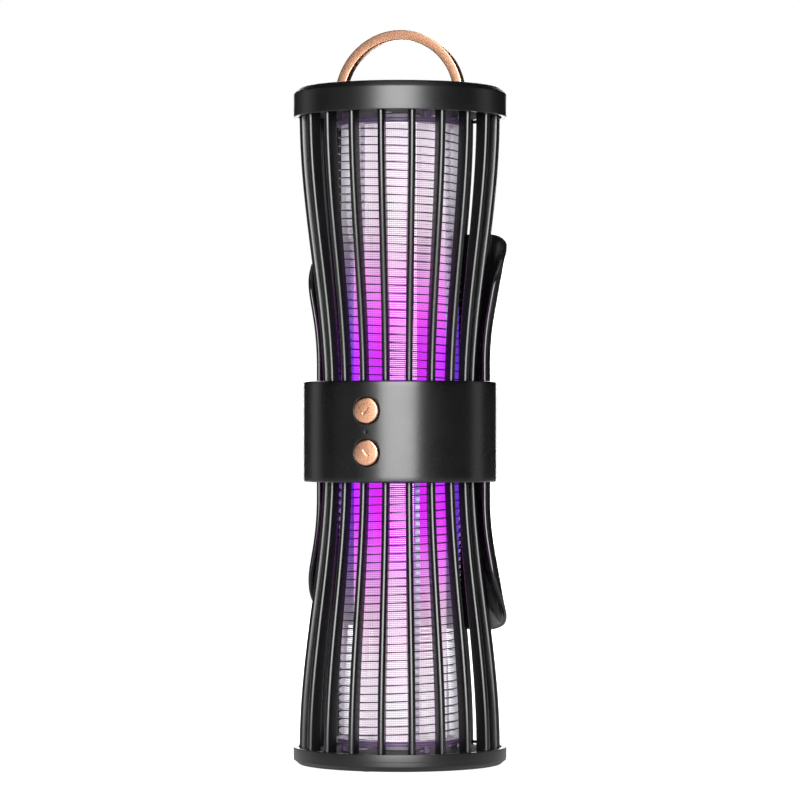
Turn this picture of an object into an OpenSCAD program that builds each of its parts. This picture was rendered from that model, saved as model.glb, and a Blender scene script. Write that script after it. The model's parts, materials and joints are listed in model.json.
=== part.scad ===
// Portable electric bug zapper: two finned light chambers joined by a control collar, with a
// fold-down carry handle in the cap and a flared shield behind the fins.
// The origin is the centre of the foot pad, on the surface it stands on. +Z is up, the buttons
// face -Y. Angles round the body are measured from the front (-Y) towards +X.

/* [Overall] */
// Open height of each light chamber, between the collar and the cap or the base
chamber_h = 119; // [90:1:150]
// Height of the collar round the waist
collar_h = 45; // [45:1:60]
// Height of the top cap
cap_h = 13; // [13:0.5:18]
// Height of the base cover
base_h = 7.7; // [7.7:0.1:12]
// Outer radius of the cap and of the base cover
end_r = 48; // [48:0.5:58]
// Outer radius of the collar
collar_r = 43.5; // [43.5:0.5:52]

/* [Walls and fits] */
// Wall of the cap and of the base cover
end_wall = 2.3; // [2:0.1:3]
// Top plate of the cap
cap_plate = 3; // [2.5:0.1:4]
// Bottom plate of the base cover
base_plate = 2.4; // [2:0.1:3]
// Wall of the collar
collar_wall = 2.3; // [2:0.1:3]
// Chamfer on the cap and base rims
rim_bevel = 2.5; // [1:0.1:3]
// Chamfer on the collar's edges
collar_bevel = 0.7; // [0.4:0.1:1]
// Gap between parts that seat in each other
seat_gap = 0.2; // [0.1:0.05:0.3]
// Gap round a moving part
move_gap = 0.3; // [0.25:0.05:0.5]
// Radial gap of a pin in its turning bore
pin_gap = 0.05; // [0.02:0.01:0.1]

/* [Fins] */
// Number of fins round each chamber
fin_count = 20; // [20:4:28]
// Thickness of a fin
fin_t = 3.1; // [2:0.1:3.6]
// Outer radius of the fins at the waist
waist_r = 34.7; // [33:0.1:36]
// Depth of a fin at the waist, from its outer edge inwards
fin_waist_depth = 4.5; // [3.5:0.1:5]
// Depth of a fin at the cap and the base
fin_end_depth = 6; // [5:0.5:9]
// Half height of the straight stretch of the fins at the waist
fin_straight = 12; // [0:1:20]
// Thickness of the ring that the fins meet at the cap and the base
end_ring_t = 2.5; // [2:0.1:4]
// Thickness of the ring that the fins stand on in the collar
waist_ring_t = 2.8; // [2.4:0.1:4]
// Inner radius of the ring that the fins stand on in the collar
waist_ring_in = 29; // [28.8:0.1:30]

/* [Lamp and grid] */
// Radius of the lamp tube
lamp_r = 7.9; // [6:0.1:8]
// Outer radius of the fine mesh tube round the lamp
mesh_r = 21; // [18:0.5:23]
// Wall of the fine mesh tube
mesh_t = 0.4; // [0.3:0.1:0.8]
// Radius of the high-voltage wire turns
grid_r = 27.5; // [26:0.1:28]
// Diameter of the high-voltage wire
wire_d = 0.8; // [0.5:0.1:1]
// Spacing of neighbouring wire turns
wire_step = 3.65; // [3:0.01:5]
// Radial depth of the posts that carry the wire
post_depth = 2.6; // [2:0.1:3]
// Width of the posts that carry the wire
post_w = 2; // [1.5:0.1:3]

/* [Controls] */
// Diameter of a button
button_d = 11.4; // [8:0.1:11.4]
// Distance between the two buttons
button_pitch = 18.6; // [17:0.1:20]
// How far a button is pushed in
button_travel = 0.6; // [0.3:0.1:0.8]
// Diameter of the indicator's pinhole
pinhole_d = 1.4; // [1:0.1:2]

/* [Handle] */
// Outer radius of the handle's half ring
handle_r = 30.8; // [28:0.1:31]
// Radial thickness of the handle
handle_t = 4.45; // [3.5:0.05:4.5]
// Width of the handle's band
handle_w = 5; // [4:0.1:5.2]
// Depth of the pivot below the cap's top face
pivot_depth = 4.3; // [4:0.1:4.5]
// Radius of the handle's pins
handle_pin_r = 0.95; // [0.8:0.05:1.1]

/* [Shield] */
// Thickness of the rear shield
shield_t = 2.2; // [1.5:0.1:2.2]
// Height of the shield's far edge from the waist's centre
shield_top = 91; // [75:0.1:100]
// Angle that the shield covers on each side of the back
shield_half_angle = 89; // [70:1:90]
// Height at which the shield starts to flare
shield_flare_from = 30; // [25:1:40]
// Radius of the flare's bend
shield_bend_r = 130; // [120:5:200]
// Height over which the flare bends before it runs straight
shield_bend_h = 23.4; // [15:0.1:30]
// Height of the shield's rounded corners
shield_corner_h = 30; // [10:0.5:34]
// Width of the shield's rounded corners, as an angle round the body
shield_corner_angle = 60; // [30:1:66]

/* [Battery and boards] */
// Diameter of the battery cell
cell_d = 18.4; // [14:0.1:18.6]
// Length of the battery cell
cell_l = 65; // [50:0.5:65]
// Thickness of the circuit boards
board_t = 1.2; // [0.8:0.1:1.6]
// Diameter of the screws' shanks
screw_d = 2.5; // [2:0.1:2.6]

/* [Hidden] */
$fn = 48;
eps = 0.01;
profile_steps = 14;

// Heights above the surface it stands on
foot_h = 0.5;
mid_z = foot_h + base_h + chamber_h + collar_h / 2;
top_z = mid_z + collar_h / 2 + chamber_h + cap_h;

// Heights from the waist's centre, the same up and down
collar_half = collar_h / 2;
edge_h = collar_half + chamber_h;
ring_inset = 0.5;
waist_ring_top = collar_half - ring_inset;
waist_ring_bottom = waist_ring_top - waist_ring_t;
deck_t = 2.2;
drum_half = waist_ring_bottom - deck_t;
fin_tip = edge_h + 1;
end_ring_top = fin_tip + end_ring_t;
plate_t = 2;
plate_bottom = fin_tip + seat_gap;
plate_top = plate_bottom + plate_t;
grid_bottom = waist_ring_bottom;
grid_ring_t = 2.6;
grid_tip_gap = 5.2;
grid_tip_ring_t = 2.2;
peg_w = 2;
peg_angles = [45, 135, 225, 315];
gauze_t = 0.3;
gauze_gap = 0.9;
gauze_seat = 0.05;
wire_clear = 3;
grid_top = plate_bottom;

// Radii
end_ring_r = end_r - end_wall - seat_gap;
collar_in = collar_r - collar_wall;
shield_r = collar_in - seat_gap - 0.1;
drum_r = shield_r - shield_t - seat_gap;
drum_wall = 2;
drum_in = drum_r - drum_wall;
lug_h = 7;
grid_ring_in = grid_r - wire_d / 2 - post_depth;
grid_ring_out = waist_ring_in - seat_gap;
post_out = grid_r - wire_d / 2 - 0.05;

// Fins
fin_pitch = 360 / fin_count;
fin_span = end_ring_top - 0.6 - fin_straight;
fin_end_r = end_ring_r;

// Screws
screw_r = screw_d / 2;
screw_head_r = 2.2;
screw_head_t = 1.3;
screw_hole_gap = 0.05;
end_screw_r = (end_ring_r + fin_end_r - fin_end_depth) / 2;
end_screw_angles = [0, 90, 180, 270];
waist_screw_r = (waist_ring_in + waist_r) / 2;
waist_screw_angles = [3, 7, 13, 17] * 18;
plate_screw_r = 17;
plate_screw_angles = [0, 120, 240];
collar_screw_angles = [145, 215];
boss_r = 3;
collar_screw_h = 12;
collar_screw_l = 8;

base_screw_l = mid_z - fin_tip - foot_h - 0.4;
plate_screw_l = plate_t + 1;

// Foot
foot_r = 36;
foot_seat_z = foot_h + 1;

// Handle and its groove
handle_mid_r = handle_r - handle_t / 2;
pivot_z = top_z - pivot_depth;
knuckle_r = handle_w / 2 - 0.1;
groove_in = handle_r - handle_t - 0.5;
groove_out = handle_r + 0.5;
groove_floor_z = pivot_z - handle_w / 2 - 0.2;
groove_wall = 2;
groove_bottom_z = groove_floor_z - 1.5;
pin_sink = 1.5;

// Buttons and the board behind them
button_r = button_d / 2;
button_z = button_pitch / 2;
button_proud = 1;
button_edge_y = collar_r + 0.1;
flange_r = button_r + 0.7;
flange_front = sqrt(collar_in * collar_in - flange_r * flange_r);
flange_t = 1;
stem_r = 1.5;
plunger_top = drum_r - 0.4;
plunger_r = 1.7;
switch_body = 6;
switch_front = drum_in + 0.4;
switch_h = 3.4;
board_front = switch_front - switch_h;
switch_board_w = 18;
switch_board_h = 30;

// Port
port_w = 8.94;
port_h = 3.26;
port_l = 7.3;
port_front = collar_in - 1.6;
port_back = port_front - port_l;
pocket_half_w = 6.9;
pocket_half_h = 3.6;
pocket_floor = collar_r - 1.9;
plug_half_w = 6.5;
plug_half_h = 3.3;
plug_back = pocket_floor + 0.1;
plug_out = collar_r - 0.1;
plug_axis_y = 43 + collar_r - 43.5;
stub_half_w = 3.6;
stub_half_h = 1.4;
stub_l = 1.5;
tether_w = 2.2;

// Lamp
lamp_end_l = 1.8;
lamp_bottom = waist_ring_bottom + 1;
lamp_top = edge_h + 0.6;
holder_r = lamp_r + 1.6;
holder_tip = edge_h - 2.2;
socket_top = waist_ring_top;

// Shield
shield_root = 7;
shield_fin_gap = 1.5;

// Battery and high-voltage module
cell_y = 7;
cell_cap_l = 1;
module_d = 24;
module_h = 18;
module_y = -28;
board_back = 19.5;

// Leads
lead_r = 0.7;
lead_ring_r = grid_ring_in - lead_r - 0.05;
lead_x = lead_ring_r * sin(75);
lead_y = -lead_ring_r * cos(75);
lead_start = 4;
lead_run = 4.94;
module_w = 2 * (lead_x - lead_run);
lead_x_cell = 8;

// --- Shapes shared by both chambers ---

// Outer radius of the fins at a height from the waist's centre
slip = 0.5;
pocket_rim = 1.5;
tether_half_h = 1.6;
stroke_w = 0.8;
stroke_deep = 1.7;
stroke_l = 4.6;
stem_socket = 0.6;
led_half_w = 1;
led_half_h = 0.6;
led_t = 0.85;
pipe_back = 0.9;
pipe_recess = 0.4;
cell_pip = 0.36;
tab_t = 1.5;
tab_h = 4;
port_shell_t = 0.3;
tongue_half_w = 3.3;
tongue_half_h = 0.35;
charge_board_half_w = 11;
charge_board_inset = 2.4;
chip = [5, 5, 1.3];
coil = [4, 4, 2.3];
lamp_glass_gap = 0.3;
lamp_glass_t = 0.9;
lamp_glass_end = 1.2;
ferrule_t = 0.28;
ferrule_cap_t = 0.9;
boss_hole_deep = 5.5;
board_window_gap = 0.6;
board_window_edge = 1.5;

function fin_out(h) = let (
        mean = (fin_end_r + waist_r) / 2,
        swing = (fin_end_r - waist_r) / 2,
        t = max(0, h - fin_straight) / fin_span
    ) mean - swing * cos(180 * min(1, t));

// Inner radius of the fins at a height from the waist's centre
function fin_in(h) = let (
        low = waist_r - fin_waist_depth,
        high = fin_end_r - fin_end_depth,
        t = max(0, h - fin_straight) / fin_span
    ) (low + high) / 2 - (high - low) / 2 * cos(180 * min(1, t));

// How far the shield's own bend takes it out past its waist radius at a height
function bend(h) = let (u = max(0, h - shield_flare_from))
    u < shield_bend_h ? u * u / (2 * shield_bend_r)
        : shield_bend_h * (u - shield_bend_h / 2) / shield_bend_r;

// The same, or further out where the fins need it to keep their clearance
function flare(h) = max(bend(h), fin_out(h) + shield_fin_gap - shield_r + shield_t);

// Evenly spaced heights from a to b
function spread(a, b, n) = [for (i = [0:n]) a + (b - a) * i / n];

module upper() translate([0, 0, mid_z]) children();
module lower() translate([0, 0, mid_z]) mirror([0, 0, 1]) children();

// Turns what is modelled at the front to each angle
module round_at(angles) for (a = angles) rotate([0, 0, a]) children();

// A ring between two radii, from height a to height b
module ring(r_out, r_in, a, b) translate([0, 0, a]) difference() {
    cylinder(r = r_out, h = b - a);
    translate([0, 0, -1]) cylinder(r = r_in, h = b - a + 2);
}

// A rod pointing outwards along -Y, from radius a to radius b
module front_rod(r, a, b) translate([0, -a, 0]) rotate([90, 0, 0]) cylinder(r = r, h = b - a);

// A box centred on the front axis, from radius a to radius b
module front_box(half_w, half_h, a, b)
    translate([-half_w, -b, -half_h]) cube([2 * half_w, b - a, 2 * half_h]);

// A countersunk screw pointing down, its head's flat face at height 0
module screw(l, r = screw_r, head = screw_head_r) rotate([180, 0, 0]) {
    cylinder(r1 = head, r2 = r, h = screw_head_t);
    cylinder(r = r, h = l);
}

// The hole that a screw fits, open above its head
module screw_hole(l) {
    screw(l + 0.3, screw_r + screw_hole_gap, screw_head_r + 2 * screw_hole_gap);
    cylinder(r = screw_head_r + 2 * screw_hole_gap, h = 3);
}

// --- Fins and their rings ---

module fin() {
    hs = spread(waist_ring_top, fin_tip, profile_steps);
    outline = concat([for (h = hs) [fin_out(h), h]],
        [for (i = [len(hs) - 1:-1:0]) [fin_in(hs[i]), hs[i]]]);
    rotate([0, 0, -90]) translate([0, fin_t / 2, 0]) rotate([90, 0, 0])
        linear_extrude(fin_t) polygon(outline);
}

module fins() color("#1b1b1d") round_at([for (i = [0:fin_count - 1]) (i + 0.5) * fin_pitch]) fin();

module fin_rings() color("#1b1b1d") {
    difference() {
        ring(end_ring_r, fin_end_r - fin_end_depth, fin_tip, end_ring_top);
        round_at(end_screw_angles) translate([0, -end_screw_r, fin_tip])
            mirror([0, 0, 1]) screw_hole(end_ring_t + 1);
    }
    difference() {
        ring(waist_r, waist_ring_in, waist_ring_bottom, waist_ring_top);
        round_at(waist_screw_angles) translate([0, -waist_screw_r, waist_ring_top]) screw_hole(10);
    }
}

// --- Cap, handle and base ---

module top_cap() color("#222224") difference() {
    cap_z = mid_z + edge_h;
    union() {
        difference() {
            rotate_extrude() polygon([[0, cap_z], [end_r, cap_z], [end_r, top_z - rim_bevel],
                [end_r - rim_bevel, top_z], [0, top_z]]);
            translate([0, 0, cap_z - 1])
                cylinder(r = end_r - end_wall, h = cap_h - cap_plate + 1);
        }
        ring(groove_out + groove_wall, groove_in - groove_wall, groove_bottom_z,
            top_z - cap_plate + eps);
        round_at(end_screw_angles) translate([0, -end_screw_r, mid_z + end_ring_top])
            cylinder(r = boss_r, h = top_z - cap_plate - mid_z - end_ring_top + eps);
        round_at(plate_screw_angles) translate([0, -plate_screw_r, mid_z + plate_top])
            cylinder(r = boss_r, h = top_z - cap_plate - mid_z - plate_top + eps);
    }
    ring(groove_out, groove_in, groove_floor_z, top_z + 1);
    translate([0, 0, pivot_z]) round_at([90, 270])
        front_rod(handle_pin_r + screw_hole_gap, groove_in - pin_sink - 0.1,
            groove_out + groove_wall + 1);
    round_at(end_screw_angles) translate([0, -end_screw_r, mid_z + end_ring_top - 1])
        cylinder(r = screw_r + screw_hole_gap, h = 6);
    round_at(plate_screw_angles) translate([0, -plate_screw_r, mid_z + plate_top - 1])
        cylinder(r = screw_r + screw_hole_gap, h = 5);
}

module handle() color("#b98a6e") translate([0, 0, pivot_z]) difference() {
    union() {
        rotate([90, 0, 0]) rotate_extrude(angle = 180)
            translate([handle_r - handle_t, -handle_w / 2]) square([handle_t, handle_w]);
        round_at([90, 270]) front_rod(knuckle_r, handle_r - handle_t, handle_r);
    }
    round_at([90, 270]) front_rod(handle_pin_r + pin_gap, handle_r - handle_t - 1, handle_r + 1);
}

module handle_pins() color("#9a9a9c") translate([0, 0, pivot_z]) round_at([90, 270])
    front_rod(handle_pin_r, groove_in - pin_sink, groove_out + groove_wall);

module base_cover() color("#222224") difference() {
    floor_z = foot_h;
    rim_z = foot_h + base_h;
    union() {
        difference() {
            rotate_extrude() polygon([[0, floor_z], [end_r - rim_bevel, floor_z],
                [end_r, floor_z + rim_bevel * 0.8], [end_r, rim_z], [0, rim_z]]);
            translate([0, 0, floor_z + base_plate])
                cylinder(r = end_r - end_wall, h = base_h);
        }
        round_at(end_screw_angles) translate([0, -end_screw_r, floor_z + base_plate - eps])
            cylinder(r = boss_r, h = mid_z - end_ring_top - floor_z - base_plate + eps);
        round_at(plate_screw_angles) rotate([0, 0, 180])
            translate([0, -plate_screw_r, floor_z + base_plate - eps])
            cylinder(r = boss_r, h = mid_z - plate_top - floor_z - base_plate + eps);
    }
    cylinder(r = foot_r + seat_gap / 2, h = foot_seat_z);
    round_at(end_screw_angles) translate([0, -end_screw_r, floor_z])
        mirror([0, 0, 1]) screw_hole(base_screw_l);
    round_at(plate_screw_angles) rotate([0, 0, 180])
        translate([0, -plate_screw_r, floor_z + base_plate - 1.2])
        cylinder(r = screw_r + screw_hole_gap, h = 6);
}

module foot_pad() color("#2c2c2e") cylinder(r = foot_r, h = foot_seat_z);

// --- Collar and what it holds ---

module collar() color("#26262a") upper() difference() {
    union() {
        rotate_extrude() polygon([
            [collar_in, -collar_half], [collar_r - collar_bevel, -collar_half],
            [collar_r, collar_bevel - collar_half], [collar_r, collar_half - collar_bevel],
            [collar_r - collar_bevel, collar_half], [collar_in, collar_half]]);
        rotate([0, 0, 180]) intersection() {
            front_box(pocket_half_w + pocket_rim, pocket_half_h + pocket_rim, drum_r + seat_gap, collar_r);
            ring(collar_in + 0.5, drum_r + seat_gap, -collar_half, collar_half);
        }
    }
    for (z = [-button_z, button_z]) translate([0, 0, z])
        front_rod(button_r + move_gap, collar_in - 2, collar_r + 2);
    front_rod(pinhole_d / 2, collar_in - 2, collar_r + 2);
    rotate([0, 0, 180]) {
        front_box(pocket_half_w, pocket_half_h, pocket_floor, collar_r + 1);
        front_box(port_w / 2 + seat_gap, port_h / 2 + seat_gap, drum_r - 1, collar_r + 1);
        translate([pocket_half_w + tether_w / 2 - seat_gap, 0, 0])
            front_box(tether_w / 2 + seat_gap, tether_half_h, pocket_floor, collar_r + 1);
    }
    for (h = [-collar_screw_h, collar_screw_h]) translate([0, 0, h]) round_at(collar_screw_angles)
        translate([0, -collar_r + 0.2, 0]) rotate([90, 0, 0]) screw_hole(collar_screw_l);
}

module core_drum() color("#3a3a3e") upper() difference() {
    union() {
        ring(drum_r, drum_in, -drum_half, drum_half);
        for (side = [-1, 1]) translate([0, 0, side * (drum_half - lug_h / 2)])
            round_at(waist_screw_angles)
                front_box(boss_r, lug_h / 2, waist_screw_r - boss_r, drum_in + 0.5);
        for (h = [-collar_screw_h, collar_screw_h]) translate([0, 0, h])
            round_at(collar_screw_angles)
                front_box(boss_r, boss_r, collar_r - collar_screw_l - 1, drum_in + 0.5);
    }
    front_box(switch_board_w / 2 + board_window_gap, drum_half - board_window_edge,
        drum_in - 3, drum_r + 1);
    rotate([0, 0, 180])
        front_box(port_w / 2 + 1, port_h / 2 + 1, drum_in - 3, drum_r + 1);
    for (side = [0, 1]) mirror([0, 0, side]) round_at(waist_screw_angles)
        translate([0, -waist_screw_r, drum_half - boss_hole_deep])
        cylinder(r = screw_r + screw_hole_gap, h = 7);
    for (h = [-collar_screw_h, collar_screw_h]) translate([0, 0, h]) round_at(collar_screw_angles)
        front_rod(screw_r + screw_hole_gap, collar_r - collar_screw_l - 0.2, drum_r + 1);
}

// Closes the drum's end; its rim reaches the collar at the front and stops at the shield behind
module deck() color("#3a3a3e") difference() {
    union() {
        translate([0, 0, drum_half]) cylinder(r = drum_r, h = deck_t);
        intersection() {
            translate([0, 0, drum_half]) cylinder(r = collar_in - seat_gap, h = deck_t);
            translate([-collar_r, -collar_r, 0]) cube([2 * collar_r, collar_r - 2, collar_h]);
        }
    }
    round_at(waist_screw_angles) translate([0, -waist_screw_r, drum_half - 1])
        cylinder(r = screw_r + screw_hole_gap, h = deck_t + 2);
    for (s = [-1, 1]) translate([s * lead_x, lead_y, drum_half - 1])
        cylinder(r = lead_r + 0.2, h = deck_t + 2);
}

module button(z, slant) color("#b98a6e") translate([0, 0, mid_z + z]) difference() {
    rotate([90, 0, 0]) rotate_extrude() polygon(concat(
        [[0, flange_front - flange_t], [flange_r, flange_front - flange_t],
            [flange_r, flange_front], [button_r, flange_front], [button_r, button_edge_y]],
        [for (i = [1:6]) let (t = 15 * i) [button_r * cos(t),
            button_edge_y + (button_proud - 0.1) * sin(t)]]));
    translate([0, -collar_r - button_proud - 0.5, 0]) rotate([0, slant, 0])
        cube([stroke_w, stroke_deep, stroke_l], center = true);
    translate([0, -flange_front + flange_t, 0]) rotate([-90, 0, 0])
        translate([0, 0, -stem_socket]) cylinder(r = stem_r + pin_gap, h = 2);
}

module plunger(z) color("#d8d4c8") translate([0, 0, mid_z + z]) {
    front_rod(plunger_r, switch_front + 0.05 - button_travel, plunger_top);
    front_rod(stem_r, plunger_top - 0.1, flange_front - flange_t + 0.55);
}

module indicator_pipe() color("#e8e8ee") translate([0, 0, mid_z])
    front_rod(pinhole_d / 2 - seat_gap / 2, board_front + pipe_back, collar_r - pipe_recess);

module switch_board() color("#1f5a34") translate([0, 0, mid_z]) {
    front_box(switch_board_w / 2, switch_board_h / 2, board_front - board_t, board_front);
    front_box(led_half_w, led_half_h, board_front - eps, board_front + led_t);
}

module tact_switches() color("#2b2b2b") for (z = [-button_z, button_z])
    translate([0, 0, mid_z + z]) difference() {
        front_box(switch_body / 2, switch_body / 2, board_front, switch_front);
        front_rod(plunger_r + 0.1, switch_front - 2 * button_travel - 0.2, switch_front + 1);
    }

module battery_cell() color("#3f7fae") translate([0, cell_y, mid_z]) rotate([0, 90, 0]) {
    cylinder(d = cell_d, h = cell_l - cell_cap_l, center = true);
    cylinder(d = cell_d * cell_pip, h = cell_l, center = true);
}

module battery_leads() color("#a33030") for (s = [-1, 1])
    translate([s * lead_x_cell, cell_y + cell_d / 2 + tab_t, mid_z + s * tab_h]) rotate([-90, 0, 0])
        cylinder(r = lead_r, h = board_back - cell_y - cell_d / 2 - tab_t - 0.1);

module charging_board() color("#1f5a34") translate([0, 0, mid_z]) rotate([0, 0, 180]) {
    translate([0, 0, -port_h / 2 - board_t / 2])
        front_box(charge_board_half_w, board_t / 2, board_back, drum_in - charge_board_inset);
    translate([5, -board_back - 4, -port_h / 2 + 0.6]) cube(chip, center = true);
    translate([-6, -board_back - 4, -port_h / 2 + 1.1]) cube(coil, center = true);
}

module usb_socket() color("#b9bbbf") translate([0, 0, mid_z]) rotate([0, 0, 180]) {
    difference() {
        front_box(port_w / 2, port_h / 2, port_back, port_front);
        front_box(port_w / 2 - port_shell_t, port_h / 2 - port_shell_t, port_back + 1, port_front + 1);
    }
    front_box(tongue_half_w, tongue_half_h, port_back + slip, port_front - 0.7);
}

module port_plug() color("#2c2c2e") translate([0, 0, mid_z]) rotate([0, 0, 180]) {
    intersection() {
        front_box(plug_half_w, plug_half_h, plug_back, collar_r + 1);
        translate([0, 0, -10]) cylinder(r = plug_out, h = 20, $fn = 240);
    }
    front_box(stub_half_w, stub_half_h, plug_back - stub_l, plug_back + 0.5);
}

module plug_tether() color("#2c2c2e") translate([0, 0, mid_z]) rotate([0, 0, 180])
    translate([pocket_half_w + tether_w / 2, 0, 0]) intersection() {
        front_box(tether_w / 2, 1.4, pocket_floor, collar_r + 1);
        translate([-pocket_half_w - tether_w / 2, 0, -10]) cylinder(r = plug_out, h = 20, $fn = 240);
    }

module hv_module() color("#26303a") translate([-module_w / 2, module_y, mid_z - module_h / 2])
    cube([module_w, module_d, module_h]);

module hv_leads() color("#a33030") for (s = [0, 1]) mirror([s, 0, 0]) {
    translate([lead_x, lead_y, lead_start - 1]) cylinder(r = lead_r, h = grid_bottom - lead_start + 1.8);
    translate([module_w / 2, lead_y, lead_start]) rotate([0, 90, 0])
        cylinder(r = lead_r - 0.1, h = lead_x - module_w / 2);
}

// --- Shield ---

module shield() color("#141416") difference() {
    hs = concat([shield_root], spread(shield_flare_from, shield_flare_from + shield_bend_h, 6),
        [shield_top]);
    outline = concat([for (h = hs) [shield_r + flare(h), h]],
        [for (i = [len(hs) - 1:-1:0]) [shield_r - shield_t + flare(hs[i]), hs[i]]]);
    rotate([0, 0, 90 - shield_half_angle])
        rotate_extrude(angle = 2 * shield_half_angle) polygon(outline);
    for (s = [-1, 1]) corner_cut(s);
    translate([0, 0, collar_screw_h]) round_at(collar_screw_angles)
        front_rod(screw_r + screw_hole_gap, drum_r - 1, collar_r);
}

// What is taken off a shield corner: everything outside a quarter of an ellipse drawn on its face
module corner_cut(s) {
    mid_a = shield_half_angle - shield_corner_angle / 2;
    ts = spread(10, 78, 8);
    angles = [for (t = ts) shield_half_angle - shield_corner_angle * (1 - cos(t))];
    hs = [for (t = ts) shield_top - shield_corner_h * (1 - sin(t))];
    xs = [for (i = [0:len(ts) - 1]) (shield_r + flare(hs[i])) * sin(angles[i] - mid_a)];
    far = xs[0] + 12;
    over = shield_top + 3;
    outline = concat([for (i = [0:len(ts) - 1]) [s * xs[i], hs[i]]],
        [[s * (xs[len(ts) - 1] - 12), over], [s * far, over], [s * far, hs[0] - 8]]);
    rotate([0, 0, 180 + s * mid_a]) translate([0, -shield_r * 0.6, 0]) rotate([90, 0, 0])
        linear_extrude(shield_r) polygon(outline);
}

// --- Lamps ---

module lamp() color([0.75, 0.6, 1, 0.6]) difference() {
    translate([0, 0, lamp_bottom + 1]) cylinder(r = lamp_r - lamp_glass_gap, h = lamp_top - lamp_bottom - 2);
    translate([0, 0, lamp_bottom + 1 + lamp_glass_end])
        cylinder(r = lamp_r - lamp_glass_gap - lamp_glass_t,
            h = lamp_top - lamp_bottom - 2 - 2 * lamp_glass_end);
}

module lamp_ends() color("#c4c4c8") {
    ring(lamp_r, lamp_r - ferrule_t, lamp_bottom, lamp_bottom + lamp_end_l);
    translate([0, 0, lamp_bottom]) cylinder(r = lamp_r - 0.1, h = ferrule_cap_t);
    ring(lamp_r, lamp_r - ferrule_t, lamp_top - lamp_end_l, lamp_top);
    translate([0, 0, lamp_top - ferrule_cap_t]) cylinder(r = lamp_r - 0.1, h = ferrule_cap_t);
}

module lamp_holder() color("#5a5a60") difference() {
    translate([0, 0, holder_tip]) cylinder(r = holder_r, h = plate_bottom - holder_tip);
    translate([0, 0, holder_tip - 1]) cylinder(r = lamp_r + seat_gap / 2, h = lamp_top - holder_tip + 1.05);
}

module lamp_socket() color("#5a5a60") difference() {
    translate([0, 0, waist_ring_bottom]) cylinder(r = holder_r, h = socket_top - waist_ring_bottom);
    translate([0, 0, lamp_bottom - 0.05]) cylinder(r = lamp_r + seat_gap / 2, h = 10);
}

// --- Mesh tube and wire grid ---

module mesh_tube() color("#b8b4c4") ring(mesh_r, mesh_r - mesh_t, grid_bottom, grid_open_top);

grid_open_bottom = grid_bottom + grid_ring_t;
grid_open_top = grid_top - grid_tip_gap;
wire_start = grid_open_bottom + wire_clear;
wire_count = floor((grid_open_top - wire_clear / 2 - wire_start) / wire_step) + 1;
gauze_r = grid_r - gauze_gap - gauze_seat;

// The fine gauze sleeve that the posts stand on, just inside the wires
module gauze() color("#a8a8b0") ring(gauze_r, gauze_r - gauze_t, grid_open_bottom, grid_open_top);

module wires(first) color("#3c3a44") for (i = [first:2:wire_count - 1])
    translate([0, 0, wire_start + i * wire_step])
        rotate_extrude() translate([grid_r, 0]) circle(d = wire_d);

module grid_posts(first_angle) color("#30303a")
    round_at([for (i = [0:3]) first_angle + 90 * i])
        translate([-post_w / 2, -post_out, grid_open_bottom])
        cube([post_w, post_out - gauze_r - gauze_seat, grid_open_top - grid_open_bottom]);

module grid_rings() color("#30303a") {
    ring(grid_ring_out, grid_ring_in, grid_bottom, grid_open_bottom);
    ring(grid_ring_out, grid_ring_in, grid_open_top, grid_open_top + grid_tip_ring_t);
    translate([0, 0, grid_open_top + grid_tip_ring_t - eps]) round_at(peg_angles)
        translate([-peg_w / 2, slip - grid_ring_out, 0])
        cube([peg_w, peg_w, grid_top - grid_open_top - grid_tip_ring_t + eps]);
}

module end_plate() color("#2a2a2e") difference() {
    translate([0, 0, plate_bottom])
        cylinder(r = fin_end_r - fin_end_depth - seat_gap, h = plate_t);
    round_at(plate_screw_angles) translate([0, -plate_screw_r, plate_bottom])
        mirror([0, 0, 1]) screw_hole(plate_t + 1);
}

// --- Screws ---

module end_plate_screws() color("#9a9a9c") {
    upper() plate_screw_set();
    lower() rotate([0, 0, 180]) plate_screw_set();
}

module plate_screw_set() round_at(plate_screw_angles) translate([0, -plate_screw_r, plate_bottom])
    mirror([0, 0, 1]) screw(plate_screw_l);

module cap_screws() color("#9a9a9c") upper() round_at(end_screw_angles)
    translate([0, -end_screw_r, fin_tip]) mirror([0, 0, 1]) screw(6);

module base_screws() color("#9a9a9c") round_at(end_screw_angles)
    translate([0, -end_screw_r, foot_h]) mirror([0, 0, 1]) screw(base_screw_l);

module waist_screws() color("#9a9a9c") for (side = [0, 1])
    translate([0, 0, mid_z]) mirror([0, 0, side]) round_at(waist_screw_angles)
        translate([0, -waist_screw_r, waist_ring_top]) screw(10);

module collar_screws() color("#9a9a9c") translate([0, 0, mid_z])
    for (h = [-collar_screw_h, collar_screw_h]) translate([0, 0, h]) round_at(collar_screw_angles)
        translate([0, -collar_r + 0.2, 0]) rotate([90, 0, 0]) screw(collar_screw_l);

top_cap();
handle();
handle_pins();
upper() fins();  // upper_fins
lower() fins();  // lower_fins
upper() fin_rings();  // upper_fin_rings
lower() fin_rings();  // lower_fin_rings
collar();
core_drum();
upper() deck();  // upper_deck
lower() deck();  // lower_deck
button(button_z, 45);  // upper_button
button(-button_z, -45);  // lower_button
plunger(button_z);  // upper_plunger
plunger(-button_z);  // lower_plunger
indicator_pipe();
switch_board();
tact_switches();
battery_cell();
battery_leads();
charging_board();
usb_socket();
port_plug();
plug_tether();
hv_module();
upper() hv_leads();  // upper_hv_leads
lower() hv_leads();  // lower_hv_leads
upper() shield();  // upper_shield
lower() shield();  // lower_shield
base_cover();
foot_pad();
upper() lamp();  // upper_lamp
lower() lamp();  // lower_lamp
upper() lamp_ends();  // upper_lamp_ends
lower() lamp_ends();  // lower_lamp_ends
upper() lamp_holder();  // upper_lamp_holder
lower() lamp_holder();  // lower_lamp_holder
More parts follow.
